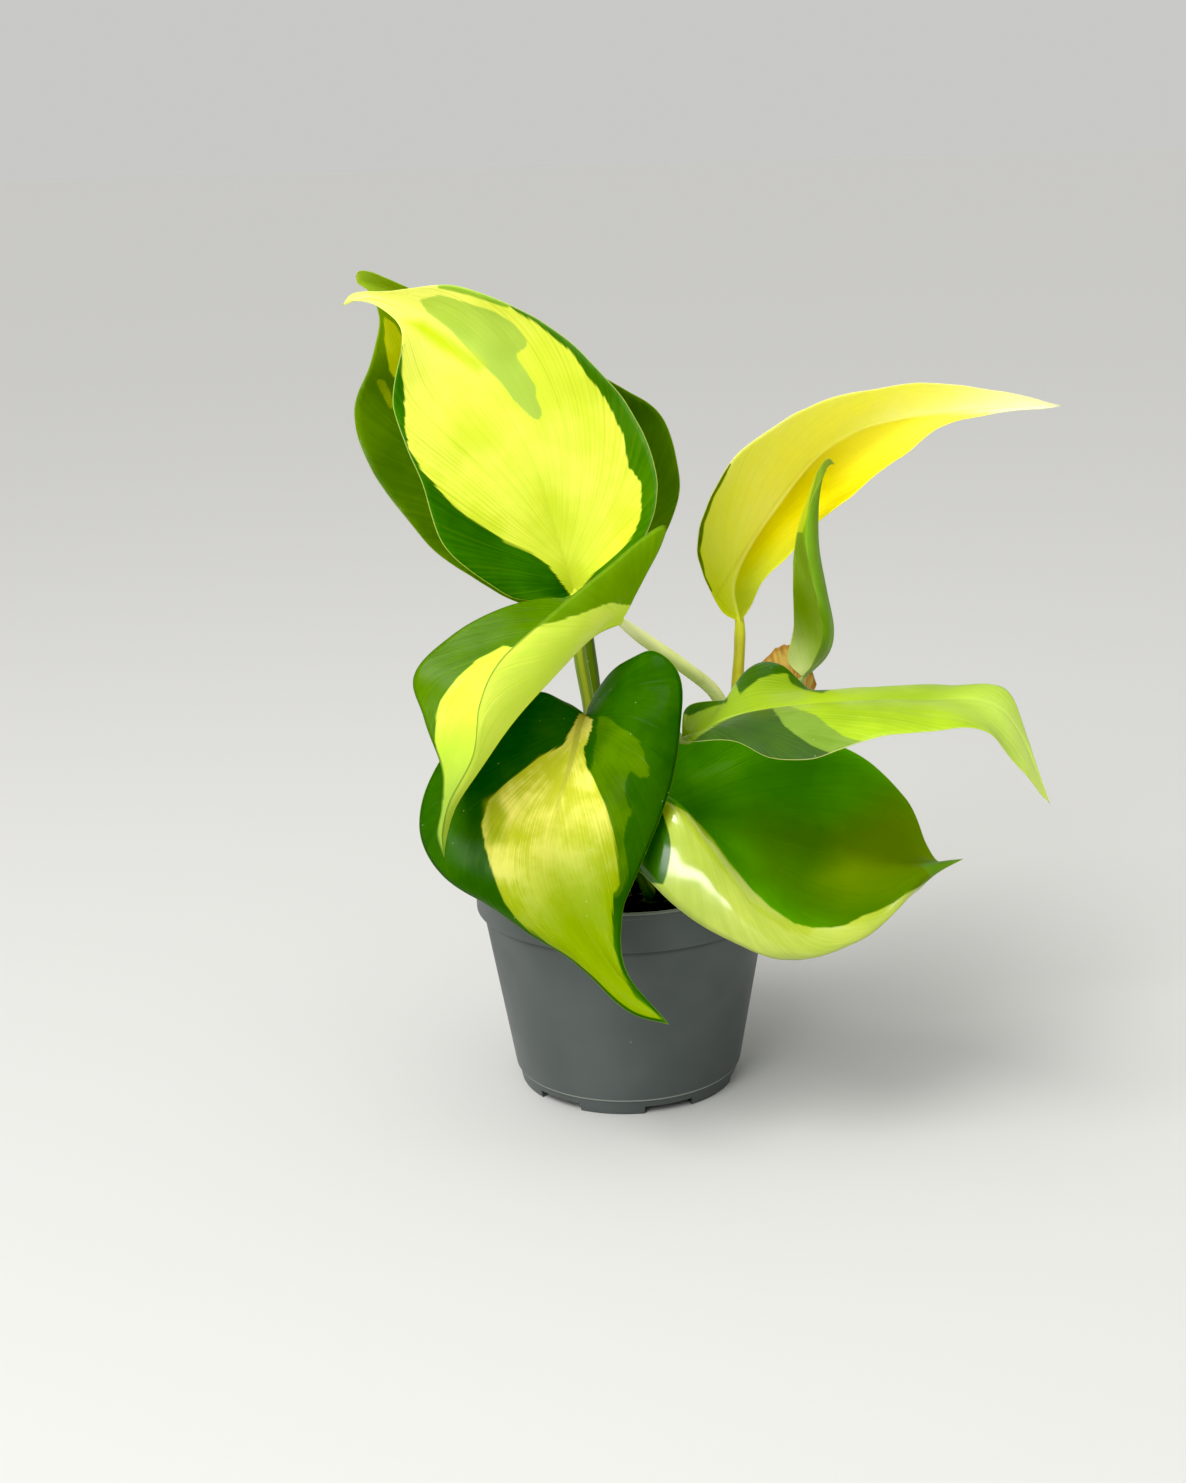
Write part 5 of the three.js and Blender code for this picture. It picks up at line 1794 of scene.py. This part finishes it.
@dataclass(frozen=True)
class PeatFinish(Finish):
    """Peat's finish: near-black crumbs with brown fibres, moist in places."""

    dark: Colour = 0x0F0C09
    brown: Colour = 0x2C2116
    fibre: Colour = 0x58442C
    mottle_scale: Span = (420.0, 2400.0)
    brown_cover: Span = (0.45, 0.68)
    fibre_cover: Point = (0.66, 0.74, 0.6)
    roughness: Ramp = (0.3, 0.6, 0.62, 0.95)
    relief: Span = (0.8, 0.8)

    def surface(self, wire: Wiring) -> Shading:
        """Works out the peat\'s colour, gloss and relief."""
        cloud, grain = EFFECTS.clouds(wire, *self.mottle_scale)
        colour = wire.cover(self.dark, self.brown, cloud, *self.brown_cover)
        return wire.cover(colour, self.fibre, grain, *self.fibre_cover), cloud, grain


@dataclass(frozen=True)
class PerliteFinish(Finish):
    """Perlite's finish: dull grey-white grains, pitted and stained by the peat."""

    white: Colour = 0xB0ACA0
    stain: Colour = 0x605444
    mottle_scale: Span = (900.0, 3000.0)
    stain_cover: Span = (0.4, 0.65)
    roughness: Ramp = (0.3, 0.7, 0.8, 0.95)
    relief: Span = (0.6, 0.3)

    def surface(self, wire: Wiring) -> Shading:
        """Works out the perlite\'s colour, gloss and relief."""
        cloud, grain = EFFECTS.clouds(wire, *self.mottle_scale)
        return wire.cover(self.white, self.stain, cloud, *self.stain_cover), grain, grain


@dataclass(frozen=True)
class Grains:
    """Loose lumps on the peat: a ball of a few rows, stretched, turned and roughened for each."""

    name: str
    count: int
    sizes: Span
    edge_gap: float
    seed: int
    rows: int = 5
    columns: int = 7
    size_power: float = 2.5
    stretch: Span = (0.7, 1.3)
    rough: Span = (0.8, 1.2)
    lean: float = 0.8
    lift: float = 0.25

    def ball(self) -> tuple[Array, Array, Array]:
        """Gives a ball of radius one: its points, the poles last, and its faces."""
        tilt = np.linspace(0, np.pi, self.rows + 2)[1:-1, None]
        turn = turns(self.columns)[None]
        rings = np.stack([np.sin(tilt) * np.cos(turn), np.sin(tilt) * np.sin(turn),
                          np.cos(tilt) * np.ones_like(turn)], axis=-1)
        points, quads, fans = capped_rings(rings, (0, 0, 1), (0, 0, -1))
        return points, quads[:, ::-1], fans[:, ::-1]

    def build(self, peat: "Peat", top: float, inner: float) -> Piece:
        """Scatters the lumps over the peat, even by area.

        Args:
            peat: the peat that they lie on.
            top: the radius of the peat's upper side.
            inner: the pot's inner radius at the peat.

        Returns:
            One object that holds every lump, still without its finish.
        """
        draw = np.random.default_rng(self.seed)
        ball, quads, fans = self.ball()
        least, most = self.sizes
        size = least + (most - least) * draw.random(self.count) ** self.size_power
        stretch = draw.uniform(*self.stretch, (self.count, 3))
        rough = draw.uniform(*self.rough, (self.count, len(ball)))
        lump = ball[None] * stretch[:, None] * rough[..., None] * size[:, None, None]
        spin = draw.uniform(0, 2 * np.pi, self.count)[:, None]
        lean = draw.uniform(-self.lean, self.lean, self.count)[:, None]
        x = lump[..., 0] * np.cos(spin) - lump[..., 1] * np.sin(spin)
        y = lump[..., 0] * np.sin(spin) + lump[..., 1] * np.cos(spin)
        high = y * np.sin(lean) + lump[..., 2] * np.cos(lean)
        wide = y * np.cos(lean) - lump[..., 2] * np.sin(lean)
        way = draw.uniform(0, 2 * np.pi, self.count)
        far = (top - self.edge_gap) * np.sqrt(draw.random(self.count))
        at_x, at_y = far * np.cos(way), far * np.sin(way)
        level = peat.height(at_x, at_y, inner) + self.lift * size
        points = np.stack([x + at_x[:, None], wide + at_y[:, None], high + level[:, None]], axis=-1)
        base = (np.arange(self.count) * len(ball))[:, None, None]
        return make_object(self.name, points.reshape(-1, 3), (quads[None] + base).reshape(-1, 4),
                           (fans[None] + base).reshape(-1, 3))


@dataclass(frozen=True)
class Peat:
    """Crumbly peat that fills the pot, with loose crumbs and a few perlite grains."""

    level: float = 55.0
    edge_drop: float = 2.0
    edge_start: float = 0.95
    mound: float = 1.6
    crumb: float = 1.3
    wave_part: float = 0.3
    lump_part: float = 0.42
    lump_size: float = 2.6
    lump_shift: float = 40.0
    bottom: float = 4.8
    clearance: float = 0.6
    rings: int = 90
    sectors: int = 260
    seed: int = 7
    crumbs: Grains = Grains("peat_crumbs", 900, (0.35, 1.3), 1.5, 5)
    perlite: Grains = Grains("perlite_grains", 16, (0.5, 1.1), 3.0, 12)

    def height(self, x: Array, y: Array, inner: float) -> Array:
        """Gives the peat's height: a low mound, three crossing waves and four layers of unevenness.

        Args:
            x: first coordinates.
            y: second coordinates.
            inner: the radius at which the mound has fallen to the level.

        Returns:
            One height for each place.
        """
        waves = (np.sin(0.55 * x + 1.3) * np.cos(0.47 * y) + 0.7 * np.sin(0.9 * y - 0.35 * x)
                 + 0.5 * np.cos(1.25 * x + 0.8 * y))
        uneven = Roughness2D(self.seed).layered(x / self.lump_size + self.lump_shift,
                                                y / self.lump_size + self.lump_shift, 4)
        mound = self.mound * (1 - (x * x + y * y) / inner**2)
        return self.level + mound + self.crumb * (self.wave_part * waves + self.lump_part * uneven)

    def _bed(self, top: float, foot: float, inner: float) -> Piece:
        """Builds the body of peat: rings from the foot up its side and in over its upper side.

        Args:
            top: the radius of its upper side.
            foot: the radius of its underside.
            inner: the pot's inner radius at the peat.

        Returns:
            The object, still without its finish.
        """
        angle = turns(self.sectors)
        radius = top * np.linspace(0, 1, self.rings + 1)[1:, None]
        x, y = radius * np.cos(angle), radius * np.sin(angle)
        fall = smoothstep(radius / top, self.edge_start, 1.0)
        z = self.height(x, y, inner) * (1 - fall) + (self.level - self.edge_drop) * fall
        base = np.stack([foot * np.cos(angle), foot * np.sin(angle),
                         np.full(self.sectors, self.bottom)], axis=-1)
        rings = np.concatenate([base[None], np.stack([x, y, z], axis=-1)[::-1]])
        crown = (0, 0, self.height(0.0, 0.0, inner))
        return make_object("peat_bed", *capped_rings(rings, (0, 0, self.bottom), crown))

    def build(self, pot: Pot) -> list[Piece]:
        """Builds the body of peat, its loose crumbs and its perlite.

        Args:
            pot: the pot that it fills.

        Returns:
            The three pieces.
        """
        inner = pot.wall_radius(self.level) - pot.wall
        top = pot.wall_radius(self.level - self.edge_drop) - pot.wall - self.clearance
        foot = pot.wall_radius(self.bottom) - pot.wall - self.clearance
        bed = self._bed(top, foot, inner)
        finish = PeatFinish().material("peat_bed")
        bed.data.materials.append(finish)
        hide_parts("peat")
        crumbs = self.crumbs.build(self, top, inner)
        crumbs.data.materials.append(finish)
        perlite = self.perlite.build(self, top, inner)
        perlite.data.materials.append(PerliteFinish().material("perlite"))
        pieces = [bed, crumbs, perlite]
        for piece in pieces:
            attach(piece, BODY)
        return pieces


@dataclass(frozen=True)
class Lamp:
    """A studio light that shines towards a point of the plant: a soft sun, or a rectangular panel.

    A panel can be kept to lighting surfaces, or to being mirrored in glossy ones. Its place, aim
    and panel are in millimetres.
    """

    name: str
    place: Point
    power: float
    panel: Span | None = None
    spread: float = math.radians(28)
    lights: bool = True
    shows_in_gloss: bool = True
    colour: Point = (1.0, 1.0, 1.0)
    aim: Point = (10.0, -10.0, 120.0)

    def build(self) -> None:
        """Makes the light, its back turned away from the aim."""
        data = bpy.data.lights.new(self.name, "AREA" if self.panel else "SUN")
        data.energy, data.color = self.power, self.colour
        if self.panel:
            data.shape = "RECTANGLE"
            data.size, data.size_y = (length * MM for length in self.panel)
        else:
            data.angle = self.spread
        lamp = add_object(self.name, data)
        back = unit(np.array(self.place, float) - np.array(self.aim, float))
        side = unit(np.cross([0.0, 0.0, 1.0], back))
        lamp.matrix_world = placing(self.place, side, np.cross(back, side), back)
        lamp.visible_camera = False
        lamp.visible_diffuse, lamp.visible_glossy = self.lights, self.shows_in_gloss


@dataclass(frozen=True)
class FloorFinish(Finish):
    """The studio floor's finish: plain, pale and dull."""

    colour: Colour = 0xCBCBC9
    roughness: float = 0.8
    sheen: float = 0.1

    def inputs(self, wire: Wiring) -> dict:
        """Gives the floor's plain values by input name."""
        return {"Base Color": self.colour, "Roughness": self.roughness,
                "Specular IOR Level": self.sheen}


@dataclass(frozen=True)
class Studio:
    """A plain pale floor under a pale sky of the same brightness, a soft sun and three panels."""

    floor_reach: float = 20000.0
    sky: Ramp = (0.54, 0.54, 0.532, 1.0)
    black_level: float = 0.011
    exposure: float = 0.12
    lamps: tuple[Lamp, ...] = (
        Lamp("soft_sun", (-420, -480, 1050), 1.4, colour=(1.0, 0.985, 0.95)),
        Lamp("top_panel", (-150, -330, 950), 2.4, panel=(700, 700)),
        Lamp("fill_panel", (-500, -880, 720), 6.2, panel=(600, 600), shows_in_gloss=False),
        Lamp("gloss_panel", (-500, -860, 120), 4.4, panel=(900, 170), lights=False),
    )

    def build(self) -> None:
        """Makes the floor, the sky, the lights and the look."""
        corners = np.array([(-1, -1, 0), (1, -1, 0), (1, 1, 0), (-1, 1, 0)]) * self.floor_reach
        floor = make_object("floor", corners, np.array([[0, 1, 2, 3]]))
        floor.data.materials.append(FloorFinish().material("floor"))
        world = bpy.data.worlds.new("sky")
        world.use_nodes = True
        world.node_tree.nodes["Background"].inputs["Color"].default_value = self.sky
        bpy.context.scene.world = world
        for lamp in self.lamps:
            lamp.build()
        look = bpy.context.scene.view_settings
        look.view_transform = "Standard"
        look.exposure = self.exposure
        look.use_curve_mapping = True
        look.curve_mapping.black_level = (self.black_level,) * 3
        look.curve_mapping.update()


def report(*pieces: Piece) -> None:
    """Logs each piece's name and number of faces."""
    for piece in pieces:
        LOG.info("%s: %d faces", piece.name, len(piece.data.polygons))


def main() -> None:
    """Builds the camera, the plant, the pot and the studio, and reports each piece."""
    logging.basicConfig(level=logging.INFO, format="%(name)s %(message)s")
    VIEW.build()
    pot = Pot()
    report(pot.build())
    report(*Peat().build(pot))
    for stem in STEMS:
        report(*stem.build())
    for blade in BLADES:
        report(blade.build())
    report(Sheath().build())
    Studio().build()


if __name__ == "__main__":
    main()
